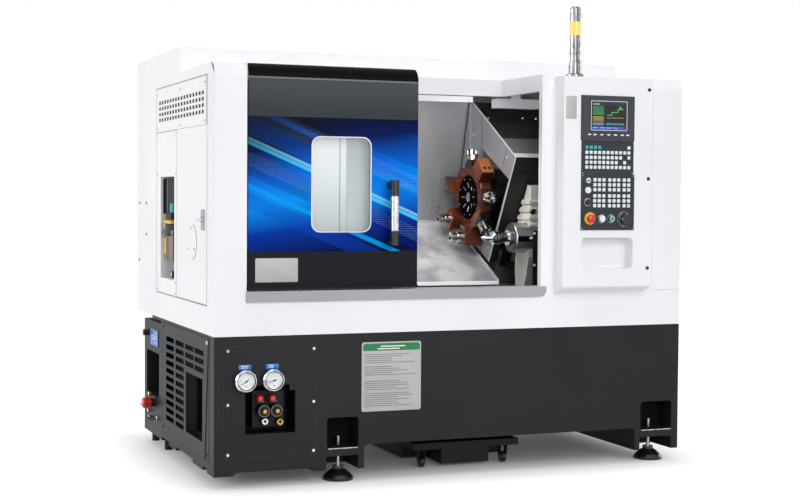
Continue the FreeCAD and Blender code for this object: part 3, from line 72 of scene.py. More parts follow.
# %% Camera
EYE = at(-1590.6, -6213.5, 1293.6)
YAW, PITCH, ROLL = (math.radians(a) for a in (21.578, -2.094, 0.402))
ahead = Vector((math.sin(YAW) * math.cos(PITCH), math.cos(YAW) * math.cos(PITCH), math.sin(PITCH)))
level = Vector((math.cos(YAW), -math.sin(YAW), 0))
upward = level.cross(ahead)
right = level * math.cos(ROLL) + upward * math.sin(ROLL)
top = upward * math.cos(ROLL) - level * math.sin(ROLL)
camera_data = bpy.data.cameras.new("camera")
camera_data.lens = 66.03
camera_data.sensor_width = 36
camera = bpy.data.objects.new("camera", camera_data)
camera.matrix_world = Matrix.Translation(EYE) @ Matrix((right, top, -ahead)).transposed().to_4x4()
scene.collection.objects.link(camera)
scene.camera = camera
print("camera at", tuple(round(c, 2) for c in EYE))

# %% [markdown]
# Finishes are made of nodes, and node graphs are long to write by hand. Two small classes make
# them read like arithmetic. A Reading is a number that changes over the surface: adding or
# comparing two of them adds a Math node. A Finish is one material, with a single method that
# makes any other node, and with the drawing's own directions as ready readings.

# %% Readings and finishes
class Reading:
    """A number that changes over a surface. Arithmetic on it adds Math nodes."""

    def __init__(self, finish, socket):
        self.finish = finish
        self.socket = socket

    def maths(self, operation, *terms):
        names = ("Value", "Value_001", "Value_002")
        return self.finish.node("ShaderNodeMath", {"operation": operation},
                                **dict(zip(names, terms)))

    def __add__(self, other):
        return self.maths("ADD", self, other)

    def __sub__(self, other):
        return self.maths("SUBTRACT", self, other)

    def __rsub__(self, other):
        return self.maths("SUBTRACT", other, self)

    def __mul__(self, other):
        return self.maths("MULTIPLY", self, other)

    def __truediv__(self, other):
        return self.maths("DIVIDE", self, other)

    def __gt__(self, other):
        return self.maths("GREATER_THAN", self, other)

    def __lt__(self, other):
        return self.maths("LESS_THAN", self, other)

    def __abs__(self):
        return self.maths("ABSOLUTE", self)

    __radd__ = __add__
    __rmul__ = __mul__

    def within(self, low, high):
        """1 between the two limits and 0 outside."""
        return (self > low) * (self < high)

    def ramp(self, low, high):
        """Rises smoothly from 0 at low to 1 at high."""
        return self.finish.node("ShaderNodeMapRange", {"interpolation_type": "SMOOTHSTEP"},
                                Value=self, From_Min=low, From_Max=high)

    def wave(self, cycle):
        """A sine wave with that cycle, in the reading's own unit."""
        return self.maths("SINE", self * (2 * math.pi / cycle))

    def power(self, exponent):
        return self.maths("POWER", self, exponent)

    def folded(self, width):
        """Runs up to the width and back again, over and over."""
        return self.maths("PINGPONG", self, width)

    def most(self, other):
        return self.maths("MAXIMUM", self, other)


class Finish:
    """One material: its nodes, and the Principled shader at their end."""

    def __init__(self, name, **constants):
        self.material = bpy.data.materials.new(name)
        self.material.use_nodes = True
        self.tree = self.material.node_tree
        self.shader = self.tree.nodes["Principled BSDF"]
        for socket, value in constants.items():
            self.shader.inputs[socket.replace("_", " ")].default_value = value
        self.position = self.node("ShaderNodeTexCoord", output="Object")
        self.x, self.y, self.z = (
            self.node("ShaderNodeSeparateXYZ", output=axis, Vector=self.position) * 1000
            + CORNER["XYZ".index(axis)] * 1000 for axis in "XYZ")

    def find(self, sockets, name):
        for socket in sockets:
            if socket.identifier == name or socket.name.replace(" ", "_") == name:
                return socket
        raise KeyError(name)

    def feed(self, socket, value):
        if isinstance(value, Reading):
            self.tree.links.new(value.socket, socket)
        else:
            socket.default_value = value

    def node(self, kind, settings=None, output=None, **sockets):
        """Any node: its settings first, then the values or links of its sockets."""
        made = self.tree.nodes.new(kind)
        for name, value in (settings or {}).items():
            if name == "stops":
                ramp = made.color_ramp
                while len(ramp.elements) < len(value):
                    ramp.elements.new(0.5)
                for element, (place, colour) in zip(ramp.elements, value):
                    element.position = place
                    element.color = colour
            else:
                setattr(made, name, value)
        for name, value in sockets.items():
            self.feed(self.find(made.inputs, name), value)
        found = self.find(made.outputs, output) if output else made.outputs[0]
        return Reading(self, found)

    def noise(self, scale, detail=3, stretch=(1, 1, 1), output="Fac"):
        """Soft irregular spots, scale of them to a metre, drawn out along an axis."""
        placed = self.node("ShaderNodeMapping", Vector=self.position, Scale=stretch)
        return self.node("ShaderNodeTexNoise", output=output, Vector=placed, Scale=scale,
                         Detail=detail)

    def mix(self, mask, low, high):
        """The colour low where the mask is 0 and high where it is 1."""
        return self.node("ShaderNodeMix", {"data_type": "RGBA"}, output="Result_Color",
                         Factor_Float=mask, A_Color=low, B_Color=high)

    def paint(self, **sockets):
        for name, value in sockets.items():
            self.feed(self.find(self.shader.inputs, name), value)

    def over(self, mask, **sockets):
        """Where the mask is 1, these values cover whatever fed the sockets before."""
        for name, value in sockets.items():
            socket = self.find(self.shader.inputs, name)
            before = (Reading(self, socket.links[0].from_socket) if socket.links
                      else tuple(socket.default_value) if name.endswith("Color")
                      else socket.default_value)
            self.feed(socket, self.mix(mask, before, value) if name.endswith("Color") else
                      self.node("ShaderNodeMix", output="Result_Float", Factor_Float=mask,
                                A_Float=before, B_Float=value))

    def bump(self, height, depth=0.0002, strength=1.0):
        """Raises the surface by the reading, depth metres for a full step."""
        self.paint(Normal=self.node("ShaderNodeBump", Height=height, Distance=depth,
                                    Strength=strength))


print("finish tools ready")

# %% [markdown]
# The picture was taken on white paper, evenly lit. The floor is a pale sheet that keeps the
# machine's soft shadow. A camera ray that misses everything meets pure white, and so does a mirror
# ray, so the bright steel has something pale to reflect. The floor adds a little of its own light
# for the same rays, which lifts it to the same white. It adds much less of it under and round the
# machine, which paints a shadow there on top of the real one.

# %% Floor and background
BLACK, WHITE = (0, 0, 0, 1), (1, 1, 1, 1)
MIDDLE_X, MIDDLE_Y, HALF_LENGTH, HALF_DEPTH = 1150, 760, 1160, 760
PAINTED_SHADOW_GLOW, OPEN_GLOW = (0.05, 0.05, 0.05, 1), (0.42, 0.42, 0.42, 1)
FLOOR_REACH = 40

floor_finish = Finish("pale_floor", Roughness=0.9, Emission_Strength=1.0)
away = (floor_finish.x / 1000 - 1.2).power(2) + (floor_finish.y / 1000 - 0.8).power(2)
far = away.ramp(3.0, 30.0)
aside = abs(floor_finish.x - MIDDLE_X) - HALF_LENGTH
behind = abs(floor_finish.y - MIDDLE_Y) - HALF_DEPTH
# Much less glow under and round the machine: a painted shadow.
outside_painted_shadow = aside.most(behind).ramp(-260, 300)
floor_finish.paint(Base_Color=floor_finish.mix(far, shade(228, 228, 229), BLACK))
to_camera, to_mirror, through_glass = (
    floor_finish.node("ShaderNodeLightPath", output=ray)
    for ray in ("Is_Camera_Ray", "Is_Glossy_Ray", "Is_Transmission_Ray"))
seen = to_camera.most(to_mirror).most(through_glass)
glow = floor_finish.mix(outside_painted_shadow, PAINTED_SHADOW_GLOW, OPEN_GLOW)
floor_finish.paint(Emission_Color=floor_finish.mix(
    seen, BLACK, floor_finish.mix(far, glow, WHITE)))
floor_mesh = bpy.data.meshes.new("floor")
floor_mesh.from_pydata([(x * FLOOR_REACH, y * FLOOR_REACH, 0)
                        for x, y in ((-1, -1), (1, -1), (1, 1), (-1, 1))], [], [(0, 1, 2, 3)])
floor = bpy.data.objects.new("floor", floor_mesh)
floor.data.materials.append(floor_finish.material)
scene.collection.objects.link(floor)

world = bpy.data.worlds.new("studio")
world.use_nodes = True
scene.world = world
nodes, links = world.node_tree.nodes, world.node_tree.links
studio = nodes["Background"]
studio.inputs["Color"].default_value = (0.93, 0.95, 1.0, 1)
studio.inputs["Strength"].default_value = 0.5
paper = nodes.new("ShaderNodeBackground")
paper.inputs["Color"].default_value = WHITE
paper.inputs["Strength"].default_value = 1.0
path = nodes.new("ShaderNodeLightPath")
any_ray = path.outputs["Is Camera Ray"]
for name in ("Is Glossy Ray", "Is Transmission Ray"):
    either = nodes.new("ShaderNodeMath")
    either.operation = "MAXIMUM"
    links.new(any_ray, either.inputs[0])
    links.new(path.outputs[name], either.inputs[1])
    any_ray = either.outputs[0]
choose = nodes.new("ShaderNodeMixShader")
links.new(any_ray, choose.inputs["Fac"])
links.new(studio.outputs[0], choose.inputs[1])
links.new(paper.outputs[0], choose.inputs[2])
links.new(choose.outputs[0], nodes["World Output"].inputs["Surface"])
scene.view_settings.view_transform = "Standard"
print("floor", FLOOR_REACH * 2, "m wide")

# %% [markdown]
# Five large soft lamps do the lighting, as in a photo studio. The front lamp is the strongest,
# so the front covers are a shade brighter than the left end. Two more fill in the back and the
# right end, a high lamp grazes the roof, and a small one looks into the work area, where the
# real machine has a lamp of its own.

# %% Lamps
def lamp(name, place, target, width, power):
    """A square soft lamp that faces its target."""
    data = bpy.data.lights.new(name, "AREA")
    data.size = width
    data.energy = power
    lamp_object = bpy.data.objects.new(name, data)
    spot = at(*place)
    lamp_object.location = spot
    lamp_object.rotation_euler = (at(*target) - spot).to_track_quat("-Z", "Y").to_euler()
    scene.collection.objects.link(lamp_object)


lamp("front_lamp", (1450, -6000, 3400), (1400, 0, 1000), 4.5, 236)
lamp("left_lamp", (-5000, 900, 2600), (0, 800, 900), 3.5, 150)
lamp("high_lamp", (1200, -500, 6000), (1200, 800, 1900), 4.0, 40)
lamp("rear_lamp", (1300, 7200, 3000), (1200, 1600, 1000), 4.0, 120)
lamp("right_lamp", (7600, 1500, 2600), (2300, 800, 1000), 3.5, 95)
lamp("work_area_lamp", (1080, 210, 1600), (1250, 560, 1000), 0.4, 4.0)

# %% [markdown]
# Most of the machine is powder coated. Such a coat has a fine orange-peel skin, a little cloud
# in its gloss where hands and cloths pass, and it gathers a faint film in patches. One function
# makes it in any colour: the skin is a small bump, and soft noise does the rest.

# %% Powder coats
def powder_coat(name, colour, film, roughness, peel, spots, **constants):
    """A coated sheet: its colour, a film that dulls it in places, and the skin's grain."""
    finish = Finish(name, **constants)
    cloud = finish.noise(2.2, detail=4)
    speck = finish.noise(spots, detail=2)
    finish.paint(Base_Color=finish.mix(cloud.ramp(0.35, 0.75) * 0.5 + speck.ramp(0.4, 0.9) * 0.25,
                                       colour, film),
                 Roughness=cloud * 0.12 + (roughness - 0.06))
    finish.bump(finish.noise(peel, detail=2), depth=0.00008, strength=0.35)
    return finish


WHITE_SHEET = (shade(243, 243, 244), shade(233, 234, 236), 0.38, 650, 60)
white_coat = powder_coat("white_powder_coat", *WHITE_SHEET)
black_coat = powder_coat("black_powder_coat", shade(19, 21, 24), shade(30, 32, 35),
                         0.50, 900, 160, Specular_IOR_Level=0.22)
panel_coat = powder_coat("panel_coat", shade(30, 36, 46), shade(42, 50, 62), 0.42, 1100, 200,
                         Specular_IOR_Level=0.35)
dark_coat = powder_coat("dark_steel_coat", shade(20, 21, 23), shade(34, 35, 38), 0.36, 420, 90,
                        Specular_IOR_Level=0.35)
sill_coat = powder_coat("sill_coat", shade(166, 168, 171), shade(150, 152, 156), 0.40, 800, 80)
print("powder coats:", len(bpy.data.materials) - 1)

# %% [markdown]
# The sheets of the work area are bare stainless steel, brushed along their length. Brushing
# leaves long thin scratches, so the noise is squeezed across and drawn out along one direction.
# The same noise shifts colour, gloss and bump together, because one scratch does all three.

# %% Bare metals
def brushed(name, light, dark, roughness, along, fine=260, metal=1.0, depth=0.00005,
            **constants):
    """Bare metal with brush lines along the named axes."""
    finish = Finish(name, Metallic=metal, **constants)
    stretch = tuple(0.02 if axis in along else 1.0 for axis in "XYZ")
    line = finish.noise(fine, detail=3, stretch=stretch)
    cloud = finish.noise(3.0, detail=4)
    finish.paint(Base_Color=finish.mix(line * 0.6 + cloud.ramp(0.3, 0.8) * 0.4, dark, light),
                 Roughness=line * 0.10 + cloud * 0.14 + (roughness - 0.12))
    finish.bump(line, depth=depth, strength=0.3)
    return finish


def polished(name, light, dark, roughness, **constants):
    """Smooth metal with faint handling marks."""
    finish = Finish(name, Metallic=1.0, **constants)
    mark = finish.noise(45, detail=5)
    finish.paint(Base_Color=finish.mix(mark.ramp(0.35, 0.7), light, dark),
                 Roughness=mark.ramp(0.4, 0.8) * 0.12 + roughness)
    finish.bump(finish.noise(320, detail=2), depth=0.00002, strength=0.2)
    return finish


wall_steel = brushed("work_area_sheet", shade(196, 197, 198), shade(168, 170, 172), 0.34, "YZ",
                     fine=90, metal=0.6, depth=0.00001)
ground_steel = polished("ground_steel", shade(196, 198, 200), shade(150, 152, 156), 0.22)
chrome = polished("hard_chrome", shade(224, 226, 228), shade(170, 172, 176), 0.10)
brass = polished("brass", shade(214, 176, 96), shade(160, 122, 58), 0.24)
print("metals ready")

# %% [markdown]
# The turret disc and its holders are coated in a copper colour. Drops of coolant leave dark
# stains on it, and it is dull in its pits. Two noises of different size give both: the large
# one moves the colour, and the small one sets where it is dull.

# %% Copper coat and castings
def copper_paint(name, metal, light, dark):
    """A copper coat with dark stains, and pits that dull it."""
    finish = Finish(name, Metallic=metal)
    stain = finish.noise(14, detail=5)
    pit = finish.noise(120, detail=3)
    finish.paint(Base_Color=finish.mix(stain.ramp(0.38, 0.72), light, dark),
                 Roughness=pit * 0.22 + stain * 0.10 + 0.20)
    finish.bump(pit, depth=0.00008, strength=0.3)
    return finish


def casting(name, light, dark, roughness):
    """Paint over rough cast iron: low bumps that the paint rounds off, and oily patches."""
    finish = Finish(name)
    lump = finish.noise(70, detail=4)
    oil = finish.noise(6, detail=4)
    finish.paint(Base_Color=finish.mix(oil.ramp(0.4, 0.75), light, dark),
                 Roughness=roughness + lump * 0.15 - oil.ramp(0.45, 0.7) * 0.18)
    finish.bump(lump, depth=0.0006, strength=0.5)
    return finish


copper = copper_paint("copper_coat", 0.75, shade(156, 82, 50), shade(74, 36, 26))
grey_iron = casting("grey_casting", shade(120, 124, 128), shade(84, 87, 92), 0.55)
print("castings ready")

# %% [markdown]
# Plastics are simpler: one colour, a fine moulded grain, and a gloss that fingers have changed in
# places. The amber lens of the signal tower glows faintly by daylight because light passes through
# it, so it gets a painted glow of its own, and painted light and shade in rings like its moulded
# ribs.

# %% Plastics and glass
def moulded(name, colour, worn, roughness, grain=700, **constants):
    """Moulded plastic: fine grain, and a gloss that handling has changed."""
    finish = Finish(name, **constants)
    touch = finish.noise(30, detail=3)
    finish.paint(Base_Color=finish.mix(touch.ramp(0.45, 0.8), colour, worn),
                 Roughness=touch * 0.16 + (roughness - 0.08))
    finish.bump(finish.noise(grain, detail=1), depth=0.00005, strength=0.3)
    return finish


red_plastic = moulded("red_plastic", shade(214, 30, 28), shade(176, 22, 22), 0.28, Coat_Weight=0.4)
green_plastic = moulded("green_plastic", shade(36, 128, 96), shade(28, 100, 76), 0.28)
white_plastic = moulded("white_plastic", shade(236, 238, 238), shade(216, 220, 222), 0.28)
teal_plastic = moulded("teal_plastic", shade(52, 176, 182), shade(40, 150, 158), 0.34)
yellow_plastic = moulded("yellow_plastic", shade(236, 190, 52), shade(206, 160, 36), 0.35)
blue_plastic = moulded("blue_plastic", shade(30, 116, 206), shade(24, 92, 170), 0.36)
black_plastic = moulded("black_plastic", shade(24, 24, 26), shade(40, 40, 43), 0.34)
oil_glass = moulded("brown_reservoir", shade(84, 36, 18), shade(50, 20, 10), 0.3, Coat_Weight=0.1,
                    Specular_IOR_Level=0.3)
# Real black parts, and painted shade where slots and gaps are dark.
black_and_painted_shade = moulded("deep_black", shade(12, 12, 13), shade(20, 20, 21), 0.7)

RIB_PITCH = 5.2
amber = Finish("amber_lens", Coat_Weight=0.5, Emission_Strength=1.0)
# A painted glow, with painted light and shade in rings that follow the ribs.
ring = amber.z.wave(RIB_PITCH) * 0.5 + 0.5
amber.paint(Base_Color=amber.mix(ring, shade(226, 170, 60), shade(250, 212, 120)),
            Emission_Color=amber.mix(ring, (0.20, 0.12, 0.02, 1), (0.42, 0.30, 0.10, 1)),
            Roughness=ring * 0.2 + 0.15)
amber.bump(ring, depth=0.0006, strength=0.6)

pane = Finish("window_pane", Alpha=0.16)
smear = pane.noise(5, detail=5, stretch=(1, 1, 0.3))
pane.paint(Base_Color=pane.mix(smear, shade(214, 228, 226), shade(236, 242, 242)),
           Roughness=smear * 0.10 + 0.02)
light_cover = Finish("lamp_diffuser", Roughness=0.3, Emission_Strength=1.0)
cloud = light_cover.noise(6, detail=2)
light_cover.paint(
    Base_Color=light_cover.mix(cloud, shade(206, 208, 210), shade(226, 228, 230)),
    Emission_Color=light_cover.mix(cloud, (0.10, 0.10, 0.11, 1), (0.16, 0.17, 0.17, 1)))
print("materials so far:", len(bpy.data.materials))

# %% [markdown]
# The sliding door is black at the bottom, dark grey above the window, and carries a large blue
# print between. Its curved top is nearly black, a painted dark reflection, with a painted
# highlight along the bend below it. A print lies flat, so it belongs in the finish and not in the
# mesh.
# The motif here is made for this lesson: slanting bars of several blues over a glowing band,
# with rows of small dots between them. It needs only sums of X and Z, so it stays sharp.

# %% Door finish
PRINT_LOW, PRINT_HIGH, GREY_HIGH, EDGE_LOW, EDGE_HIGH = 1045, 1641, 1811, 1808, 1815
DOOR_MIDDLE, BAR_BLUR = 620, 8
DOT_PITCH, DOT_AREA = 8.0, 1.7
BARS = (  # start and width across the slope, strength, colour
    (1305, 62, 0.35, (0, 70, 190)), (1392, 14, 0.8, (0, 160, 240)),
    (1450, 96, 0.4, (0, 30, 130)), (1586, 9, 0.9, (70, 206, 255)),
    (1606, 4, 0.7, (150, 226, 255)), (1628, 70, 0.35, (0, 100, 214)),
    (1740, 18, 0.6, (0, 96, 220)), (1820, 120, 0.3, (0, 18, 84)))

door_coat = Finish("door_coat", Specular_IOR_Level=0.04)
x, z = door_coat.x, door_coat.z
height = (z - PRINT_LOW) / (PRINT_HIGH - PRINT_LOW)
blues = door_coat.node("ShaderNodeValToRGB", {"stops": (
    (0.0, shade(0, 10, 52)), (0.22, shade(0, 50, 156)), (0.44, shade(0, 146, 244)),
    (0.62, shade(0, 112, 228)), (0.84, shade(0, 22, 84)), (1.0, shade(1, 4, 20)))},
    output="Color", Fac=height - ((x - DOOR_MIDDLE) / DOOR_MIDDLE) * 0.14)
slope = x * 0.42 + z
print_colour = blues
for start, width, strength, tone in BARS:
    end = start + width
    soft_bar = slope.ramp(start - BAR_BLUR, start) * (1 - slope.ramp(end, end + BAR_BLUR))
    print_colour = door_coat.mix(soft_bar * strength, print_colour, shade(*tone))
dot_x = (x + z * 0.3).folded(DOT_PITCH) - DOT_PITCH / 2
dot_z = z.folded(DOT_PITCH) - DOT_PITCH / 2
in_dot_rows = slope.within(1486, 1550).most(slope.within(1700, 1780))
dots = ((dot_x * dot_x + dot_z * dot_z) < DOT_AREA) * in_dot_rows
print_colour = door_coat.mix(dots * 0.75, print_colour, shade(150, 204, 250))
corner = (z - x * 0.5).ramp(1180, 1560)
print_colour = door_coat.mix(corner * 0.85, print_colour, shade(1, 9, 40))
in_print = z.within(PRINT_LOW, PRINT_HIGH)
upper = door_coat.mix(z.ramp(PRINT_HIGH, 1800), shade(60, 63, 66), shade(76, 79, 82))
plain = door_coat.mix(z.within(PRINT_HIGH, GREY_HIGH), shade(34, 35, 38), upper)
# Above the bend, the curved top is a painted dark reflection.
plain = door_coat.mix(z > EDGE_HIGH, plain, shade(7, 7, 9))
# A painted highlight along the bend.
bend_highlight = z.within(EDGE_LOW, EDGE_HIGH) * (door_coat.y < 30)
plain = door_coat.mix(bend_highlight * 0.7, plain, shade(140, 142, 145))
facing = door_coat.y < 16
cloud = door_coat.noise(3, detail=4)
door_coat.paint(Base_Color=door_coat.mix(in_print * facing, plain, print_colour),
                Roughness=0.40 - in_print * 0.10 + cloud * 0.10)
door_coat.bump(door_coat.noise(850, detail=2), depth=0.00006, strength=0.3)
print("door print from", PRINT_LOW, "to", PRINT_HIGH, "mm")

# %% [markdown]
# Several solids are one piece of metal with more than one finish: a painted casting with a
# machined nose, a sheet with a blackened half, an elbow in black on a chromed grip. Masks on the
# position divide them, as masking tape does in a paint shop. Some masks also paint highlights,
# reflections and shade onto a surface.

# %% Finishes with masked parts
BED_SLOPE = math.radians(30)
SPINDLE_Y, SPINDLE_Z = 300, 1094


def across_bed(finish):
    """Two directions of the slanted bed: along its slope, and out of it."""
    along = finish.y * math.cos(BED_SLOPE) + finish.z * math.sin(BED_SLOPE)
    out = finish.z * math.cos(BED_SLOPE) - finish.y * math.sin(BED_SLOPE)
    return along, out


def line_at(reading, place, half=1.6):
    """A line across the surface at that place, twice half wide."""
    return abs(reading - place) < half


def from_axis(u, v, axis_u, axis_v):
    """How far a place is from an axis that the two readings look along."""
    return ((u - axis_u).power(2) + (v - axis_v).power(2)).power(0.5)


cheek_coat = brushed("cheek_sheet", shade(166, 168, 172), shade(134, 137, 142), 0.34, "Z",
                     metal=0.35)
COVER_LEFT, COVER_TOP, COVER_FRONT = 1561, 1176, 941
x, y = cheek_coat.x, cheek_coat.y
along, out = across_bed(cheek_coat)
on_cheek = x < COVER_LEFT
on_top = (out > COVER_TOP) * (x > COVER_LEFT - 2)
on_front = (along < COVER_FRONT) * (x > COVER_LEFT) * (out < COVER_TOP)
edge_highlight = (out > COVER_TOP - 2.5).most(along < COVER_FRONT + 1.5)
for mask, look in (
        (on_top * (along > 1128), dict(Base_Color=shade(5, 5, 6), Metallic=0.0, Roughness=0.5)),
        (on_top * along.within(974, 1128), dict(Base_Color=shade(120, 117, 112), Metallic=0.2)),
        (on_top * (along < 974), dict(Base_Color=shade(240, 240, 240), Metallic=0.0)),
        (on_front, dict(Base_Color=shade(22, 22, 24), Metallic=0.0, Roughness=0.5)),
        (on_front * line_at(out, 1036, 3), dict(Base_Color=shade(8, 8, 8))),
        (on_cheek * line_at(y, 761, 3), dict(Base_Color=shade(236, 238, 240))),
        (on_cheek * line_at(y, 620, 3), dict(Base_Color=shade(40, 42, 44))),
        (on_cheek * line_at(along, 1045, 2.5), dict(Base_Color=shade(70, 72, 76))),
        # A painted highlight along the cheek's front and top edges.
        (on_cheek * edge_highlight, dict(Base_Color=shade(244, 245, 246)))):
    cheek_coat.over(mask, **look)

FLOOR_SLOPE, FLOOR_HEIGHT = 0.495, 689
on_floor = wall_steel.z - wall_steel.y * FLOOR_SLOPE < FLOOR_HEIGHT
# The work area's floor is lighter than its walls, partly painted light, and its bright and dark
# patches are painted reflections of the tools above.
patches = wall_steel.noise(5, detail=4, stretch=(1, 1, 0.4)).ramp(0.40, 0.62)
wall_steel.over(on_floor, Roughness=0.24, Metallic=0.45,
                Base_Color=wall_steel.mix(patches, shade(232, 233, 234), shade(178, 180, 183)))
# A painted highlight along the floor's front lip.
wall_steel.over((wall_steel.y < 408) * (wall_steel.z < 900), Base_Color=shade(250, 250, 250),
                Metallic=0.0)

tailstock_paint = casting("tailstock_casting", shade(240, 236, 226), shade(206, 200, 186), 0.5)
x, y, z = tailstock_paint.x, tailstock_paint.y, tailstock_paint.z
nose = from_axis(y, z, SPINDLE_Y, SPINDLE_Z).within(-1, 76) * (x < 1801)
tailstock_paint.over(nose, Base_Color=shade(176, 178, 180), Metallic=0.8, Roughness=0.28)
tailstock_paint.over(nose * (x < 1569), Base_Color=shade(74, 76, 80))
# A painted highlight on the front of the nose.
tailstock_paint.over(nose * (y < 228), Base_Color=shade(228, 230, 232), Metallic=1.0,
                     Roughness=0.08)
tailstock_paint.over((from_axis(x, z, 1667, 1222) < 15) * (y < 262),
                     Base_Color=shade(30, 24, 14), Roughness=0.6)

holder_coat = copper_paint("holder_coat", 0.7, shade(158, 84, 50), shade(78, 38, 26))
TURRET_Y, TURRET_Z = 650, 1292
RADIAL_STATIONS, RADIAL_X = (0, 90, 135), 1521
AXIAL_CHUCKS = (  # station, out of the axis, aside, and where the nose begins in X
    (180, 206, -35, 1433), (225, 161, -56, 1412))
HOLDER_BLACK, SLOT_SHADE, RIM_BRASS = shade(26, 26, 28), shade(12, 12, 13), shade(206, 170, 92)
NUT_SQUARE, NUT_SLOTS = 1000, 6  # the square of a radius just outside a nut, and its slots


def station(finish, degrees):
    """How far out of the turret's axis, and how far aside, as seen from one station."""
    turn = math.radians(degrees)
    dy, dz = finish.y - TURRET_Y, finish.z - TURRET_Z
    return (dz * math.cos(turn) - dy * math.sin(turn), dy * math.cos(turn) + dz * math.sin(turn))


def chuck_place(degrees, outwards, sideways):
    """The drawing's Y and Z of an axial chuck."""
    turn = math.radians(degrees)
    return (TURRET_Y - math.sin(turn) * outwards + math.cos(turn) * sideways,
            TURRET_Z + math.cos(turn) * outwards + math.sin(turn) * sideways)


for degrees, tone in ((0, HOLDER_BLACK), (90, HOLDER_BLACK), (135, HOLDER_BLACK),
                      (180, shade(92, 44, 26)), (315, shade(60, 34, 26))):
    far_out, aside = station(holder_coat, degrees)
    holder_coat.over((far_out > 150) * (abs(aside) < 50), Base_Color=tone, Metallic=0.35)

chuck_chrome = polished("chuck_chrome", shade(220, 222, 224), shade(176, 178, 182), 0.10)
x, y, z = chuck_chrome.x, chuck_chrome.y, chuck_chrome.z


def mark_nut(near, u, v, on_nut, on_rim):
    """Painted shade for the slots round a nut, and a brass rim at its foot, where near is 1."""
    slots = u.maths("SINE", u.maths("ARCTAN2", v, u) * NUT_SLOTS)
    chuck_chrome.over(near * on_nut * (slots > 0.35), Base_Color=SLOT_SHADE)
    chuck_chrome.over(near * on_rim, Base_Color=RIM_BRASS)


for *place, start in AXIAL_CHUCKS:
    chuck_y, chuck_z = chuck_place(*place)
    dy, dz = y - chuck_y, z - chuck_z
    mark_nut((dy * dy + dz * dz) < NUT_SQUARE, dy, dz, x < start - 5,
             x.within(start - 5, start + 1))
for degrees in RADIAL_STATIONS:
    far_out, aside = station(chuck_chrome, degrees)
    dx = x - RADIAL_X
    mark_nut(((dx * dx + aside * aside) < NUT_SQUARE) * (x > 1480), dx, aside, far_out > 219,
             far_out.within(213, 219))

far_out, aside = station(holder_coat, 45)
on_block = (far_out > 158) * (abs(aside) < 56)
# Painted shade on the block's lower front, and painted light on its top face.
holder_coat.over(on_block * (aside < -50), Base_Color=shade(92, 44, 28))
holder_coat.over(on_block * (far_out > 227), Base_Color=shade(206, 124, 76))
far_out, aside = station(holder_coat, 225)
# Painted shade on one side of the holder.
holder_coat.over((far_out > 118) * (aside < -38), Base_Color=shade(112, 54, 32))

centre_steel = polished("centre_steel", shade(216, 218, 220), shade(170, 172, 176), 0.12)
for place in (1482, 1500, 1514, 1532, 1546):
    centre_steel.over(line_at(centre_steel.x, place, 2.2), Base_Color=shade(24, 24, 26))
cap_coat = powder_coat("cap_coat", shade(4, 4, 5), shade(8, 8, 9), 0.62, 420, 90,
                       Specular_IOR_Level=0.02)

grip_chrome = polished("grip_chrome", shade(224, 226, 228), shade(186, 188, 192), 0.10)
GRIP_LOW, GRIP_HIGH = 1135, 1297
z = grip_chrome.z
elbow = (z < GRIP_LOW).most(z > GRIP_HIGH)
grip_chrome.over(elbow, Base_Color=shade(22, 22, 24), Metallic=0.0, Roughness=0.3)
grip_chrome.over(line_at(z, GRIP_LOW + 2, 2.5).most(line_at(z, GRIP_HIGH - 2, 2.5)),
                 Base_Color=shade(90, 92, 96), Metallic=0.6)

aperture_coat = powder_coat("aperture_coat", shade(243, 243, 244), shade(230, 232, 234),
                            0.34, 700, 50, Emission_Strength=1.0, Emission_Color=BLACK)
x, y, z = aperture_coat.x, aperture_coat.y, aperture_coat.z
on_beam = y > 400
on_panel = y.within(50, 64) * x.within(148, 850)
low = z.ramp(1560, 1140)
# The recessed beam is a shade darker: painted shade.
aperture_coat.over(on_beam, Base_Color=shade(236, 237, 239))
aperture_coat.over(on_beam * line_at(z, 1792, 2.5), Base_Color=shade(70, 72, 74))
# The fixed panel behind the window is lighter towards the top and glows a little: painted light.
aperture_coat.over(
    on_panel, Base_Color=aperture_coat.mix(low, shade(247, 247, 247), shade(214, 221, 219)),
    Emission_Color=aperture_coat.mix(low, (0.15, 0.15, 0.15, 1), (0.03, 0.03, 0.03, 1)))
# Right of the fold the panel is darker and grey-green, partly painted shade, with a faint painted
# glow.
aperture_coat.over(
    on_panel * (x > 626), Emission_Color=(0.02, 0.02, 0.02, 1),
    Base_Color=aperture_coat.mix(low, shade(168, 180, 183), shade(206, 214, 213)))
# A painted shadow line at the fold's left edge, and a grey line at its right edge.
aperture_coat.over(on_panel * line_at(x, 594, 2), Base_Color=shade(120, 126, 128))
aperture_coat.over(on_panel * line_at(x, 626, 2), Base_Color=shade(150, 156, 158))

side_door_coat = powder_coat("side_door_coat", *WHITE_SHEET)
on_latch = (side_door_coat.x < -6.4) * (side_door_coat.y < 220) * (side_door_coat.z > 1130)
side_door_coat.over(on_latch, Base_Color=shade(150, 152, 156), Metallic=0.8, Roughness=0.32)

pump_coat = moulded("pump_coat", shade(9, 9, 10), shade(15, 15, 16), 0.5, Specular_IOR_Level=0.15)
y, z = pump_coat.y, pump_coat.z
for mask, colour in (
        (z.within(1200, 1380) * (y > 1014), shade(150, 152, 156)),
        (z.within(1150, 1168), shade(232, 186, 48)),
        (z.within(1093, 1150), shade(150, 158, 170)),
        (z.within(1093, 1150) * y.within(905, 940), shade(40, 42, 46)),
        (z.within(950, 1093), shade(88, 42, 24)),
        (z.within(950, 1093) * (y > 935), shade(150, 152, 152)),
        (z.within(1000, 1088) * y.within(950, 992), shade(238, 214, 70)),
        ((from_axis(pump_coat.x, y, 80, 842) < 28) * z.within(1146, 1250),
         shade(56, 190, 192))):
    pump_coat.over(mask, Base_Color=colour)

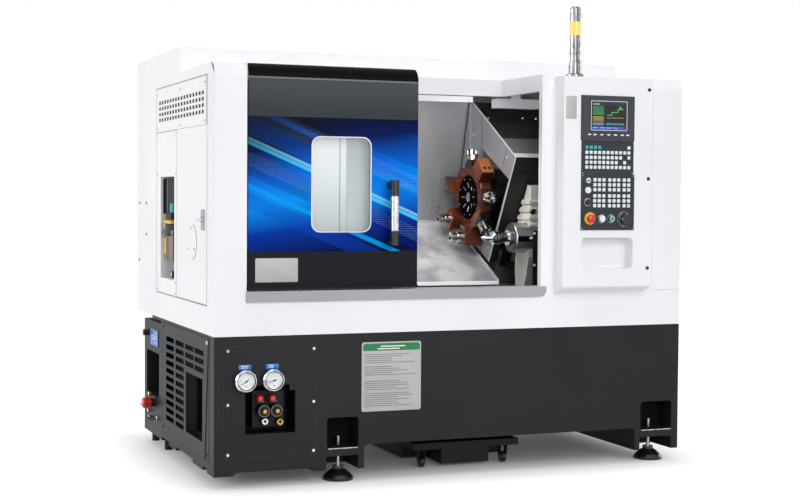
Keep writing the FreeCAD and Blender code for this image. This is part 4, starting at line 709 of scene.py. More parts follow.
stand_chrome = polished("stand_chrome", shade(178, 178, 179), shade(130, 130, 132), 0.14)
TOWER_X, TOWER_RADIUS = 1792, 29
across = (stand_chrome.x - TOWER_X) / TOWER_RADIUS
# Two dark lines down the polished stand: painted dark reflections.
stand_chrome.over(line_at(across, -0.2, 0.16).most(line_at(across, 0.75, 0.1)),
                  Base_Color=shade(60, 60, 62))
display_coat = powder_coat("display_coat", shade(52, 54, 60), shade(62, 64, 70), 0.4, 1100,
                           200, Specular_IOR_Level=0.35)
valve_coat = powder_coat("valve_coat", shade(10, 10, 11), shade(16, 16, 17), 0.5, 900, 160,
                         Specular_IOR_Level=0.25)
seam_grey = moulded("seam_grey", shade(150, 152, 154), shade(132, 134, 137), 0.6)
line_grey = moulded("line_grey", shade(120, 122, 124), shade(104, 106, 108), 0.6)
plate_green = moulded("plate_green", shade(0, 122, 66), shade(0, 104, 56), 0.36)
plate_metal = powder_coat("plate_metal", shade(182, 181, 178), shade(168, 168, 165), 0.36,
                          900, 120)

x, y, z = black_coat.x, black_coat.y, black_coat.z
# Painted shade: near black behind the grille and in the bays above the feet.
shade_behind_grille = x.within(1.5, 151) * y.within(165, 950) * z.within(165, 625)
shade_in_foot_bays = y.within(1.5, 116) * z.within(157, 298) * x.within(519, 672).most(x.within(2137, 2314))
black_coat.over(shade_behind_grille.most(shade_in_foot_bays), Base_Color=shade(3, 3, 4), Roughness=0.9)
feet_coat = powder_coat("feet_coat", shade(16, 16, 18), shade(26, 26, 28), 0.30, 420, 90,
                        Specular_IOR_Level=0.5)
feet_coat.over(feet_coat.z > 63, Base_Color=shade(170, 172, 175), Metallic=1.0)
wheel_coat = moulded("wheel_coat", shade(20, 20, 21), shade(32, 32, 33), 0.4)
AXLE_Z, AXLE_CAP = 27, 11.5
for axle_y in (235, 1045):
    wheel_coat.over(from_axis(wheel_coat.y, wheel_coat.z, axle_y, AXLE_Z) < AXLE_CAP,
                    Base_Color=shade(214, 216, 218), Metallic=1.0)
print("masked finishes ready")

# %% [markdown]
# Each solid now gets its finish. A solid that shows several finishes, such as a casting with a
# machined face, has masks on its position. Here a plain table says which solid wears which.

# %% Dress the solids
WEAR = {
    black_coat: ("base_frame", "side_grille", "gauge_panel", "hydraulic_unit", "coolant_tank"),
    feet_coat: ("levelling_feet",),
    dark_coat: ("right_guard", "turret_housing"),
    white_coat: ("front_cover", "left_side_cover", "right_side_cover", "rear_cover",
                 "vent_panel", "lubricator_panel", "control_box"),
    side_door_coat: ("side_door",), aperture_coat: ("opening_frame",),
    sill_coat: ("sill_plate",), light_cover: ("work_lights",),
    door_coat: ("door_panel",), pane: ("door_window",), grip_chrome: ("door_handle",),
    chrome: ("latch_lever", "tailstock_quill", "key_switch", "pressure_gauges"),
    centre_steel: ("live_centre",), cap_coat: ("turret_cap",),
    chuck_chrome: ("collet_chucks",),
    grey_iron: ("slant_bed", "headstock", "saddle"),
    wall_steel: ("fixed_way_cover", "sliding_way_cover"), cheek_coat: ("saddle_cover",),
    ground_steel: ("spindle", "chuck_body", "chuck_jaw_1", "chuck_jaw_2", "chuck_jaw_3"),
    copper: ("turret_disc",), holder_coat: ("tool_blocks",), tailstock_paint: ("tailstock_body",),
    panel_coat: ("keyboard_unit", "operator_panel"), display_coat: ("display_unit",),
    valve_coat: ("valve_block",),
    red_plastic: ("valve_knob_left", "valve_knob_right", "filler_cap", "emergency_stop"),
    white_plastic: ("start_button",), green_plastic: ("stop_button",),
    pump_coat: ("lubricator",), black_plastic: ("mode_knob", "handwheel"),
    stand_chrome: ("tower_stand",), amber: ("tower_lens",),
    wheel_coat: ("front_wheels", "rear_wheels"),
}

for finish, names in WEAR.items():
    for name in names:
        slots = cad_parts[name].data.materials
        slots.clear()
        slots.append(finish.material)
dressed = {name for names in WEAR.values() for name in names}
print("dressed", len(dressed), "of", len(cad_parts), "solids; bare:",
      sorted(set(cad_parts) - dressed))

# %% [markdown]
# Small parts repeat by the dozen, so Geometry Nodes make them. A Recipe is such a node tree:
# it takes a mesh whose points say where the copies go, and named sizes. Running it bakes the
# result into one plain mesh for each moving group, which is what an exported model can carry.

# %% Recipes for parts that repeat
SLOT_OF = {
    white_coat: "white_paint", black_coat: "black_paint", white_plastic: "white_plastic",
    black_plastic: "black_plastic", black_and_painted_shade: "black_plastic", red_plastic: "red_plastic",
    teal_plastic: "green_plastic", plate_green: "green_plastic", yellow_plastic: "sheet_steel",
    plate_metal: "sheet_steel", seam_grey: "grey_sill", line_grey: "grey_sill",
    chrome: "chrome", ground_steel: "bright_steel", dark_coat: "dark_steel",
    grey_iron: "grey_casting", oil_glass: "oil_unit",
}


def dress(piece, finish, body, slot):
    """Makes the piece ride on its moving group and prints how many faces it has."""
    slot = slot or SLOT_OF[finish]
    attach(piece, body)
    print(f"  {piece.name}: {len(piece.data.polygons)} faces on {body}")
    return piece


class Recipe:
    """A geometry node tree with named inputs, used for pieces that repeat.

    Its sizes are in metres, because nodes work in the scene's own unit.
    """

    def __init__(self, name, **sizes):
        self.tree = bpy.data.node_groups.new(name, "GeometryNodeTree")
        face = self.tree.interface
        face.new_socket("Points", in_out="INPUT", socket_type="NodeSocketGeometry")
        for label, value in sizes.items():
            kind = ("NodeSocketInt" if isinstance(value, int) else
                    "NodeSocketVector" if isinstance(value, tuple) else "NodeSocketFloat")
            face.new_socket(label, in_out="INPUT", socket_type=kind).default_value = value
        face.new_socket("Finish", in_out="INPUT", socket_type="NodeSocketMaterial")
        face.new_socket("Geometry", in_out="OUTPUT", socket_type="NodeSocketGeometry")
        self.start = self.tree.nodes.new("NodeGroupInput")

    def __getitem__(self, label):
        return self.start.outputs[label]

    def feed(self, socket, value):
        if isinstance(value, bpy.types.NodeSocket):
            self.tree.links.new(value, socket)
        else:
            socket.default_value = value

    def outputs(self, kind, settings=None, **sockets):
        """All outputs of a new node: its settings first, then its sockets."""
        made = self.tree.nodes.new(kind)
        for name, value in (settings or {}).items():
            setattr(made, name, value)
        for name, value in sockets.items():
            self.feed(next(s for s in made.inputs
                           if s.enabled and s.name.replace(" ", "_") == name), value)
        return made.outputs

    def node(self, kind, settings=None, output=0, **sockets):
        """One output of a new node."""
        return self.outputs(kind, settings, **sockets)[output]

    def in_order(self, kind, *values, **settings):
        """A node whose sockets are fed in order, for a kind whose socket names repeat."""
        made = self.tree.nodes.new(kind)
        for name, value in settings.items():
            setattr(made, name, value)
        for socket, value in zip(made.inputs, values):
            self.feed(socket, value)
        return made.outputs[0]

    def times(self, first, second):
        return self.in_order("ShaderNodeMath", first, second, operation="MULTIPLY")

    def vector(self, *parts):
        return self.in_order("ShaderNodeCombineXYZ", *parts)

    def copies(self, part):
        """Puts the part on every point, turned as the Turn input says."""
        points = self.node("GeometryNodeMeshToPoints", Mesh=self["Points"])
        placed = self.node("GeometryNodeInstanceOnPoints", Points=points, Instance=part,
                           Rotation=self["Turn"])
        self.close(placed)

    def close(self, geometry):
        real = self.node("GeometryNodeRealizeInstances", Geometry=geometry)
        end = self.tree.nodes.new("NodeGroupOutput")
        self.tree.links.new(self.node("GeometryNodeSetMaterial", Geometry=real,
                                      Material=self["Finish"]), end.inputs[0])

    def make(self, name, points, finish, body="machine", slot=None, **sizes):
        """Runs the recipe on drawing points and returns a plain mesh that rides on the body."""
        mesh = bpy.data.meshes.new(name)
        mesh.from_pydata([at(*point) for point in points], [], [])
        piece = bpy.data.objects.new(name, mesh)
        scene.collection.objects.link(piece)
        modifier = piece.modifiers.new("recipe", "NODES")
        modifier.node_group = self.tree
        for socket in self.tree.interface.items_tree:
            if socket.in_out == "INPUT" and socket.name in sizes:
                modifier[socket.identifier] = sizes[socket.name]
            elif socket.name == "Finish":
                modifier[socket.identifier] = finish.material
        ready = piece.evaluated_get(bpy.context.evaluated_depsgraph_get())
        piece.data = bpy.data.meshes.new_from_object(ready)
        piece.data.name = name
        piece.modifiers.clear()
        return dress(piece, finish, body, slot)


TO_FRONT = (math.radians(90), 0, 0)  # how a copy turns to face that side
TO_LEFT = (0, math.radians(-90), 0)
UPRIGHT = (0, 0, 0)
print("recipes ready")

# %% [markdown]
# The first recipe is a cap screw: a low cone for the head, its top face drawn in and pushed
# down for the socket. On the machine such screws hold every panel. A real socket catches the
# light on one side and is dark on the other, which a painted dot can't do.

# %% Cap screws
PANEL_FACE, BOX_FACE, GAUGE_SHEET = 84, 80, 3  # how far they stand in front of the covers
GAUGE_PANEL_HOLES = [(x, z) for x in (61, 455) for z in (613, 376, 156)]

screw = Recipe("cap_screw", Radius=0.006, Height=0.003, Socket=0.55, Turn=TO_FRONT)
head = screw.outputs("GeometryNodeMeshCone", Vertices=14, Radius_Bottom=screw["Radius"],
                     Radius_Top=screw.times(screw["Radius"], 0.8), Depth=screw["Height"])
lip = screw.outputs("GeometryNodeExtrudeMesh", Mesh=head["Mesh"], Selection=head["Top"],
                    Offset_Scale=0.0, Individual=False)
narrow = screw.node("GeometryNodeScaleElements", Geometry=lip["Mesh"], Selection=lip["Top"],
                    Scale=screw["Socket"])
well = screw.node("GeometryNodeExtrudeMesh", Mesh=narrow, Selection=lip["Top"],
                  Offset_Scale=screw.times(screw["Height"], -0.8), Individual=False)
screw.copies(well)

side_screws = [(-2, y, z) for y in (1148, 643, 155) for z in (1793, 1622)]
side_screws += [(-2, y, z) for y in (1148, 726) for z in (1590, 1395, 872, 820)]
screw.make("vent_and_side_screws", side_screws, ground_steel, Radius=0.0055, Turn=TO_LEFT)
screw.make("rear_strip_screws", [(0, 1588, 1249), (0, 1422, 1250), (0, 1422, 1086),
                                 (0, 1600, 946)], dark_coat,
           Radius=0.007, Turn=TO_LEFT)
screw.make("round_cover_screws", [(-6, 407, 1141), (-6, 449, 1045), (-6, 341, 1045)],
           ground_steel, "side_door", Radius=0.0065, Turn=TO_LEFT)
screw.make("gauge_panel_screws", [(x, -GAUGE_SHEET, z) for x, z in GAUGE_PANEL_HOLES],
           chrome, Radius=0.008, Height=0.004)
screw.make("control_box_screws", [(2117, -BOX_FACE, z) for z in (1812, 1386, 957)],
           black_plastic, Radius=0.009, Height=0.005)
screw.make("grille_screws", [(-3, y, z) for y in (112, 998) for z in (640, 140)],
           dark_coat, Radius=0.008, Height=0.004, Turn=TO_LEFT)
screw.make("panel_corner_screws", [(x, -PANEL_FACE, z) for x, z in (
    (1757, 1410), (2026, 1410), (1757, 1398), (2032, 1398), (1757, 1147), (2032, 1147))],
    ground_steel, Radius=0.0035, Height=0.0015)
print("cap screws done")

# %% [markdown]
# Keys are moulded caps with rounded corners and a slightly smaller top. The recipe draws a rounded
# rectangle, fills it, raises it and draws in the top. It serves the letter keys, the machine keys,
# the soft keys below the screen and the painted shade in the slots.

# %% Keys
key = Recipe("moulded_key", Width=0.016, Tall=0.016, Corner=0.003, Rise=0.002, Taper=0.88,
             Turn=TO_FRONT)
outline = key.node("GeometryNodeCurvePrimitiveQuadrilateral", Width=key["Width"],
                   Height=key["Tall"])
rounded = key.node("GeometryNodeFilletCurve", {"mode": "POLY"}, Curve=outline, Count=4,
                   Radius=key["Corner"], Limit_Radius=True)
sheet_face = key.node("GeometryNodeFillCurve", {"mode": "NGONS"}, Curve=rounded)
raised = key.outputs("GeometryNodeExtrudeMesh", Mesh=sheet_face, Offset_Scale=key["Rise"],
                     Individual=False)
cap = key.node("GeometryNodeScaleElements", Geometry=raised["Mesh"], Selection=raised["Top"],
               Scale=key["Taper"])
under = key.node("GeometryNodeFlipFaces", Mesh=sheet_face)
joined = key.tree.nodes.new("GeometryNodeJoinGeometry")
key.tree.links.new(cap, joined.inputs[0])
key.tree.links.new(under, joined.inputs[0])
key.copies(key.node("GeometryNodeMergeByDistance", Geometry=joined.outputs[0]))

COLUMN = [1778 + 22.7 * i for i in range(11)]
TEAL_KEYS = [(x, 1532) for x in COLUMN[:4]]
LETTER_ROWS = ((1532, (10,)), (1508, range(11)), (1484, (*range(9), 10)),
               (1461, (*range(8), 9)), (1438, range(11)))
LETTER_KEYS = [(COLUMN[i], z) for z, row in LETTER_ROWS for i in row]
MACHINE_KEYS = [(x, z) for x in (1823, 1847.4, 1871.8, 1903, 1927.4, 1951.8, 1982, 2006.4)
                for z in (1256, 1279.25, 1302.5, 1332, 1355.25, 1378.5)]
SOFT_KEYS = [(x, 1592) for x in (1791, 1820, 1857, 1894, 1931, 1967, 1997)]
for name, places, finish, wide, tall in (
        ("letter_keys", LETTER_KEYS, white_plastic, 0.0168, 0.0168),
        ("teal_keys", TEAL_KEYS, teal_plastic, 0.0168, 0.0168),
        ("machine_keys", MACHINE_KEYS, white_plastic, 0.0172, 0.0172),
        ("soft_keys", SOFT_KEYS, white_plastic, 0.0176, 0.0075)):
    key.make(name, [(x, -PANEL_FACE - 0.1, z) for x, z in places], finish, Rise=0.0029,
             Width=wide, Tall=tall)
print("keys:", len(LETTER_KEYS + TEAL_KEYS + MACHINE_KEYS + SOFT_KEYS))

# %% [markdown]
# Round and flat pieces that don't repeat come from helpers in mesh code. One spins a profile
# about an axis and closes it at its poles, as a lathe would turn it. Another raises a plate
# from an outline and breaks its front edge, because a pressed plate never ends in a knife edge.
# A function that is passed in says which way the drawing faces.

# %% Turned pieces, plates and rods
def to_front(u, v, depth):
    """u runs right and v up, and depth counts out of the front of the machine."""
    return at(u, -depth, v)


def to_left(u, v, depth):
    """u runs to the back and v up, and depth counts out of the left side."""
    return at(-depth, u, v)


def rounded_outline(x0, z0, x1, z1, radius, steps=4):
    """A rectangle between two opposite corners, its own corners rounded."""
    corners = ((x1 - radius, z1 - radius, 0), (x0 + radius, z1 - radius, 90),
               (x0 + radius, z0 + radius, 180), (x1 - radius, z0 + radius, 270))
    points = []
    for x, z, start in corners:
        for step in range(steps + 1):
            turn = math.radians(start + 90 * step / steps)
            points.append((x + radius * math.cos(turn), z + radius * math.sin(turn)))
    return points


def add_plate(shape, outline, back, front, facing=to_front, edge=0.0):
    """A flat plate between two depths, its front edge broken by edge millimetres."""
    behind = [shape.verts.new(facing(u, v, back)) for u, v in outline]
    before = [shape.verts.new(facing(u, v, front)) for u, v in outline]
    shape.faces.new(behind)
    lid = shape.faces.new(before)
    for i in range(len(outline)):
        j = (i + 1) % len(outline)
        shape.faces.new((behind[i], behind[j], before[j], before[i]))
    if edge:
        bmesh.ops.bevel(shape, geom=list(lid.edges), offset=edge * MM, segments=2,
                        affect="EDGES", profile=0.5)


def add_border(shape, outer, inner, back, front, facing=to_front):
    """A flat frame between two outlines with the same number of points."""
    rings = [[shape.verts.new(facing(u, v, depth)) for u, v in outline]
             for outline, depth in ((outer, back), (outer, front), (inner, front), (inner, back))]
    for ring_a, ring_b in zip(rings, rings[1:] + rings[:1]):
        for i in range(len(outer)):
            j = (i + 1) % len(outer)
            shape.faces.new((ring_a[i], ring_a[j], ring_b[j], ring_b[i]))


def add_turned(shape, profile, centre, facing=to_front, steps=28):
    """Spins (radius, depth) points about an axis through the centre."""
    rings = []
    for radius, depth in profile:
        rings.append([shape.verts.new(facing(
            centre[0] + radius * math.cos(2 * math.pi * i / steps),
            centre[1] + radius * math.sin(2 * math.pi * i / steps), depth))
            for i in range(steps if radius else 1)])
    for inner, outer in zip(rings, rings[1:] + rings[:1]):
        if len(inner) == 1 and len(outer) == 1:
            continue
        for i in range(steps):
            j = (i + 1) % steps
            corners = (inner[i % len(inner)], inner[j % len(inner)],
                       outer[j % len(outer)], outer[i % len(outer)])
            shape.faces.new(list(dict.fromkeys(corners)))


def add_rod(shape, points, radius, steps=12):
    """A round rod or cable along points of the machine, closed at both ends."""
    path = [at(*point) for point in points]
    rings = []
    side = None
    for i, spot in enumerate(path):
        run = (path[min(i + 1, len(path) - 1)] - path[max(i - 1, 0)]).normalized()
        side = side or run.orthogonal()
        side = (side - run * side.dot(run)).normalized()
        other = run.cross(side)
        rings.append([shape.verts.new(
            spot + (side * math.cos(turn) + other * math.sin(turn)) * radius * MM)
            for turn in (2 * math.pi * k / steps for k in range(steps))])
    for low, high in zip(rings, rings[1:]):
        for i in range(steps):
            j = (i + 1) % steps
            shape.faces.new((low[i], low[j], high[j], high[i]))
    shape.faces.new(rings[0])
    shape.faces.new(rings[-1])


def ring_section(inner, outer, back, front, edge=0.6):
    """The closed section of a flat ring with broken edges."""
    return [(inner, back), (outer, back), (outer, front - edge), (outer - edge, front),
            (inner + edge, front), (inner, front - edge)]


def button_section(radius, back, front, edge=0.8):
    """Half the section of a round button with a broken edge."""
    return [(0, back), (radius, back), (radius, front - edge), (radius - edge, front), (0, front)]


def blank(count):
    """So many empty shapes."""
    return (bmesh.new() for _ in range(count))


def piece_of(name, shape, finish, body="machine", slot=None):
    """Turns a bmesh into a piece with its finish, faces outwards, riding on its group."""
    bmesh.ops.remove_doubles(shape, verts=shape.verts, dist=1e-7)
    bmesh.ops.recalc_face_normals(shape, faces=shape.faces)
    mesh = bpy.data.meshes.new(name)
    shape.to_mesh(mesh)
    shape.free()
    mesh.materials.append(finish.material)
    mesh.shade_smooth()
    mesh.set_sharp_from_angle(angle=math.radians(32))
    piece = bpy.data.objects.new(name, mesh)
    scene.collection.objects.link(piece)
    return dress(piece, finish, body, slot)


print("mesh helpers ready")

# %% [markdown]
# The two pressure gauges have a polished bezel with a dark groove, a white face with a scale,
# and a thin black needle with a tail. The scale's marks repeat, so a recipe makes them: a bar
# on each point of a circle, turned outwards, without the quarter at the bottom.

# %% Gauge faces
scale_ring = Recipe("dial_scale", Marks=41, Radius=0.0295, Wide=0.0009, Long=0.0050, Turn=TO_FRONT)
circle_mesh = scale_ring.node("GeometryNodeMeshCircle", Vertices=scale_ring["Marks"],
                              Radius=scale_ring["Radius"])
bar = scale_ring.node("GeometryNodeMeshCube", Size=scale_ring.vector(
    scale_ring["Wide"], scale_ring["Long"], 0.0004))
place_on_ring = scale_ring.node("GeometryNodeInputPosition")
height_on_ring = scale_ring.node("ShaderNodeSeparateXYZ", output=1, Vector=place_on_ring)
floor_limit = scale_ring.times(scale_ring["Radius"], -0.7)
upper_part = scale_ring.node("FunctionNodeCompare", {"operation": "GREATER_THAN"},
                             A=height_on_ring, B=floor_limit)
outwards = scale_ring.node("FunctionNodeAlignRotationToVector", {"axis": "Y"},
                           Vector=place_on_ring)
on_circle = scale_ring.node("GeometryNodeInstanceOnPoints", Points=circle_mesh, Instance=bar,
                            Selection=upper_part, Rotation=outwards)
scale_ring.copies(on_circle)

GAUGES = ((137, 480, 215), (263, 480, 196))
DIAL = 33  # how far the dials stand in front of the covers
faces, grooves, inner_rings, needles = blank(4)
for x, z, bearing in GAUGES:
    add_turned(faces, button_section(41.5, DIAL + 0.05, DIAL + 0.5, 0.2), (x, z))
    add_turned(grooves, ring_section(38.5, 41.9, DIAL + 0.1, DIAL + 1, 0.2), (x, z), steps=40)
    add_turned(inner_rings, ring_section(34, 38.6, DIAL + 0.1, DIAL + 3.4, 1.6), (x, z), steps=40)
    add_turned(needles, button_section(4.5, DIAL + 0.4, DIAL + 2.4), (x, z), steps=16)
    add_turned(needles, button_section(2.4, DIAL + 0.4, DIAL + 1.2, 0.3), (x, z - 21), steps=12)
    turn = math.radians(bearing)
    add_plate(needles, [(x + math.cos(turn) * a - math.sin(turn) * b,
                         z + math.sin(turn) * a + math.cos(turn) * b)
                        for a, b in ((-12, -2.4), (-12, 2.4), (26, 0.8), (26, -0.8))],
              DIAL + 1.1, DIAL + 1.8)
piece_of("gauge_faces", faces, white_plastic)
piece_of("gauge_inner_rings", inner_rings, chrome)
piece_of("gauge_grooves", grooves, black_plastic)
piece_of("gauge_needles", needles, black_plastic)
centres = [(x, -DIAL - 0.6, z) for x, z, _ in GAUGES]
scale_ring.make("gauge_scales", centres, black_plastic)
scale_ring.make("gauge_inner_scales", centres, black_plastic,
                Marks=17, Radius=0.0205, Wide=0.0022, Long=0.0026)

labels = bmesh.new()
for x0, x1 in ((110, 166), (234, 293)):
    add_plate(labels, rounded_outline(x0, 529, x1, 550, 3), 3.05, 3.9, edge=0.3)
piece_of("gauge_label_plates", labels, blue_plastic, slot="panel_dark")
print("gauges done")

# %% [markdown]
# The screen shows a page of the control. It lights itself, so its colours go into the emission.
# The picture is laid out here for the lesson: a column of values, a simple turning contour of a
# stepped shaft, and a bar for each axis. A thin pale line frames it.

# %% Screen
screen_finish = Finish("screen_page", Roughness=0.12, Specular_IOR_Level=0.4,
                       Emission_Strength=1.0)
x, z = screen_finish.x, screen_finish.z
page = shade(6, 7, 10)
dash = (x.folded(3.1) > 1.1) * (z.folded(2.6) > 1.2)
LINE_GREEN, SMALL_BAR = (90, 230, 120), 26
SCREEN_PARTS = [  # left, right, low, high, colour, and whether it is broken into marks
    (1804, 1983, 1731, 1742, (26, 34, 60), False),
    (1808, 1846, 1733, 1740, (214, 220, 226), True),
    (1808, 1868, 1686, 1728, (70, 196, 110), True),
    (1880, 1979, 1652, 1728, (6, 14, 12), False), (1950, 1964, 1716, 1726, (60, 190, 70), False),
    (1886, 1912, 1684, 1686.5, LINE_GREEN, False), (1910, 1912.5, 1684, 1700, LINE_GREEN, False),
    (1910, 1944, 1698, 1700.5, LINE_GREEN, False), (1942, 1944.5, 1698, 1714, LINE_GREEN, False),
    (1942, 1974, 1712, 1714.5, LINE_GREEN, False),
    (1884, 1976, 1672, 1673.5, (236, 210, 60), False),
    (1808, 1868, 1656, 1680, (226, 206, 70), True),
    (1880, 1979, 1637, 1648, (70, 206, 226), True),
    (1808, 1868, 1636, 1651, (190, 196, 236), True),
    (1804, 1983, 1618, 1630, (48, 84, 206), False)]
SCREEN_PARTS += [(left, left + SMALL_BAR, 1621, 1627, tone, True) for left, tone in (
    (1810, (226, 230, 246)), (1846, (226, 230, 246)), (1882, (226, 230, 246)),
    (1918, (236, 214, 60)))]
for x0, x1, z0, z1, tone, dashed in SCREEN_PARTS:
    mask = x.within(x0, x1) * z.within(z0, z1)
    page = screen_finish.mix(mask * dash if dashed else mask, page, shade(*tone))
screen_finish.paint(Base_Color=(0.01, 0.01, 0.012, 1), Emission_Color=page)
screen_shape, frame_shape = blank(2)
add_plate(screen_shape, rounded_outline(1804, 1618, 1983, 1742, 2), PANEL_FACE + 0.05,
          PANEL_FACE + 0.6)
add_border(frame_shape, rounded_outline(1797, 1612, 1993, 1752, 4),
           rounded_outline(1799.5, 1614.5, 1990.5, 1749.5, 3), 87.02, 87.5)
piece_of("screen", screen_shape, screen_finish, slot="panel_dark")
piece_of("screen_frame_line", frame_shape, white_plastic)
print("screen done")

# %% [markdown]
# Around the buttons sit turned rings: polished ones at start and stop, and a yellow ring at the
# emergency stop, set a little off as on the machine. The handwheel has a thin silver ring and
# two white index dots. All are lathe-turned, so all come from the same helper.

# %% Rings and bosses of the operator panel
RING_FOOT = PANEL_FACE + 0.02
rings, pale, boss, dots_shape, yellow = blank(5)
for x, z, inner in ((1861, 1194, 16.5), (1913, 1194, 16.5), (1786, 1272, 15.6), (1785, 1375, 10)):
    add_turned(rings, ring_section(inner, inner + 3.2, RING_FOOT, 86.4), (x, z))
add_turned(rings, ring_section(33.6, 35.6, RING_FOOT, 86.0), (1984, 1193), steps=40)
add_turned(yellow, ring_section(14, 29.5, 88.02, 90.6, 1), (1797, 1195), steps=36)
add_turned(pale, ring_section(9, 12, 98.02, 98.9), (1913, 1194))
add_turned(boss, button_section(15.4, RING_FOOT, 92.5, 2.5), (1786, 1329))
for x, z in ((1984, 1217), (1960, 1193)):
    add_turned(dots_shape, button_section(2.6, 109, 110.7, 0.3), (x, z), steps=12)
piece_of("control_rings", rings, chrome)
piece_of("stop_ring_yellow", yellow, yellow_plastic, slot="white_plastic")
piece_of("stop_button_rim", pale, white_plastic, "stop_button")
piece_of("white_boss_cap", boss, white_plastic)
piece_of("handwheel_dots", dots_shape, white_plastic, "handwheel")
# A painted shadow strip in the gap between the display and the keyboard.
gap = bmesh.new()
add_plate(gap, rounded_outline(1752, 1554.5, 2032, 1562.5, 0.5, 1), BOX_FACE + 0.02, 82.5)
piece_of("panel_gap", gap, black_and_painted_shade)
print("operator rings done")

# %% [markdown]
# Behind the gauges' panel lies the valve recess: brass tips on the two valves, one polished and
# one brass port, and grey levers below the red knobs. Six dished washers sit round the panel's
# screws. A dark seam runs round each panel, because sheets never meet without a gap.

# %% Valves, washers and seams
tips, ports, levers, washers, seams = blank(5)
for x, z in ((228, 341), (285, 341)):
    add_turned(tips, button_section(9.6, 12, 18.5, 2), (x, z), steps=20)
    add_turned(levers, ring_section(22.5, 26.3, -4, 1.4), (x, z))
    add_plate(levers, rounded_outline(x - 19, z + 33, x + 15, z + 39, 2.5), -60, -50)
add_turned(tips, ring_section(6, 15.5, -33, -22, 2), (309, 287), steps=20)
add_turned(ports, ring_section(6, 15.5, -33, -22, 2), (239, 291), steps=20)
for x, z in GAUGE_PANEL_HOLES:
    add_turned(washers, ring_section(7.4, 13, GAUGE_SHEET + 0.02, 3.9, 0.3), (x, z), steps=20)
add_border(seams, rounded_outline(42, 137, 469, 632, 10), rounded_outline(47, 142, 464, 627, 8),
           0.05, 1.2)
piece_of("valve_tips", tips, brass, slot="chrome")
piece_of("valve_port", ports, chrome)
piece_of("valve_levers", levers, grey_iron)
piece_of("dished_washers", washers, black_and_painted_shade)
piece_of("gauge_panel_seam", seams, black_and_painted_shade)

side_seams, round_seam = blank(2)
for y0, z0, y1, z1 in (
        (1160, 802, 1164, 1826), (130, 1822, 1164, 1827), (130, 1601, 134, 1827),
        (130, 800, 1164, 806), (134, 1602, 1160, 1606)):
    add_plate(side_seams, rounded_outline(y0, z0, y1, z1, 1, 1), 0.02, 2.5, to_left)
add_plate(side_seams, rounded_outline(709.6, 808, 712.4, 1602, 1, 1), 0.02, 3.5, to_left)
ROUND_COVER, DOOR_SHEET = (383, 1077), 3
add_turned(round_seam, ring_section(76.5, 79.5, DOOR_SHEET + 0.02, 3.6, 0.2), ROUND_COVER,
           to_left, 40)
piece_of("left_side_seams", side_seams, seam_grey)
piece_of("round_cover_seam", round_seam, seam_grey, "side_door")
# Dark plates behind the vent slots: painted shade.
slot_points = [(-0.02, 204 + i * 882 / 15, 1665 + j * 85 / 3) for i in range(16) for j in range(4)]
key.make("vent_slot_backs", slot_points, black_and_painted_shade, Width=0.023, Tall=0.046, Corner=0.002,
         Rise=0.0018, Taper=1.0, Turn=TO_LEFT)

teal_cap, silver, brown, pump_black, strip, strip_label, nut = blank(7)
add_plate(pump_black, rounded_outline(10, 1196, 64, 1376, 12), -1066.6, -1064)
add_plate(pump_black, rounded_outline(902, 1171, 1022, 1206, 6), -60, -14, to_left, 2)
add_turned(pump_black, button_section(17, -140, -12, 2), (880, 903), to_left, 20)
add_turned(nut, ring_section(5, 11, -14, -9, 1), (880, 903), to_left, 6)
add_turned(nut, ring_section(3, 8, -30, -2, 1), (1012, 1140), to_left, 6)
add_turned(teal_cap, [(0, 1207), (17, 1207), (17, 1246), (14, 1250), (0, 1250)], (22, 888), at, 24)
add_plate(strip, rounded_outline(884, 1151, 1056, 1166, 3), -60, -7, to_left, 1)
add_plate(silver, rounded_outline(984, 1094, 1060, 1150, 4), -50, -3, to_left, 2)
add_plate(silver, rounded_outline(1010, 968, 1058, 1090, 5), -50, -14, to_left, 2)
for y, z in ((998, 1108), (1022, 1112), (1046, 1106)):
    add_turned(silver, button_section(8, -4, 3, 1), (y, z), to_left, 12)
add_plate(brown, rounded_outline(842, 966, 1004, 1092, 10), -31, -11, to_left, 3)
add_plate(strip_label, rounded_outline(1014, 998, 1054, 1080, 3), -14.5, -13, to_left)
piece_of("recess_fittings", pump_black, black_and_painted_shade)
piece_of("recess_nuts", nut, brass, slot="chrome")
piece_of("filler_cap_teal", teal_cap, teal_plastic)
piece_of("yellow_bracket", strip, yellow_plastic)
piece_of("metering_block", silver, grey_iron)
piece_of("reservoir_glass", brown, oil_glass)
piece_of("reservoir_label", strip_label, yellow_plastic)
print("seams, vent backs and recess done")

# %% [markdown]
# The door's window has a pale seal all round, a little wider than the glass needs, and the door
# carries a small bare plate below its print. A larger plate on the base has rivets and a green
# heading over ruled grey lines. What it says isn't repeated here: lines of different length
# stand for it, and a fixed seed keeps them the same in every run.

# %% Seal and plates
seal = bmesh.new()
add_border(seal, rounded_outline(441, 1130, 726, 1559, 41),
           rounded_outline(446, 1134, 721, 1554, 38), -0.3, 0.9)
piece_of("window_seal", seal, white_plastic, "door")
plate_shape, heading, door_plate, box_plate = blank(4)
add_plate(plate_shape, rounded_outline(684, 316, 974, 632, 10), 0.05, 1.6, edge=0.6)
add_plate(heading, rounded_outline(690, 592, 968, 626, 5), 1.5, 1.9)
add_plate(door_plate, rounded_outline(184, 911, 380, 1017, 6), -0.2, 0.9, edge=0.3)
add_plate(box_plate, rounded_outline(1668, 1664, 1724, 1771, 5), BOX_FACE + 0.02, 81, edge=0.3)
piece_of("information_plate", plate_shape, plate_metal)
piece_of("plate_heading", heading, plate_green)
piece_of("door_plate", door_plate, plate_metal, "door")
piece_of("control_box_plate", box_plate, plate_metal)

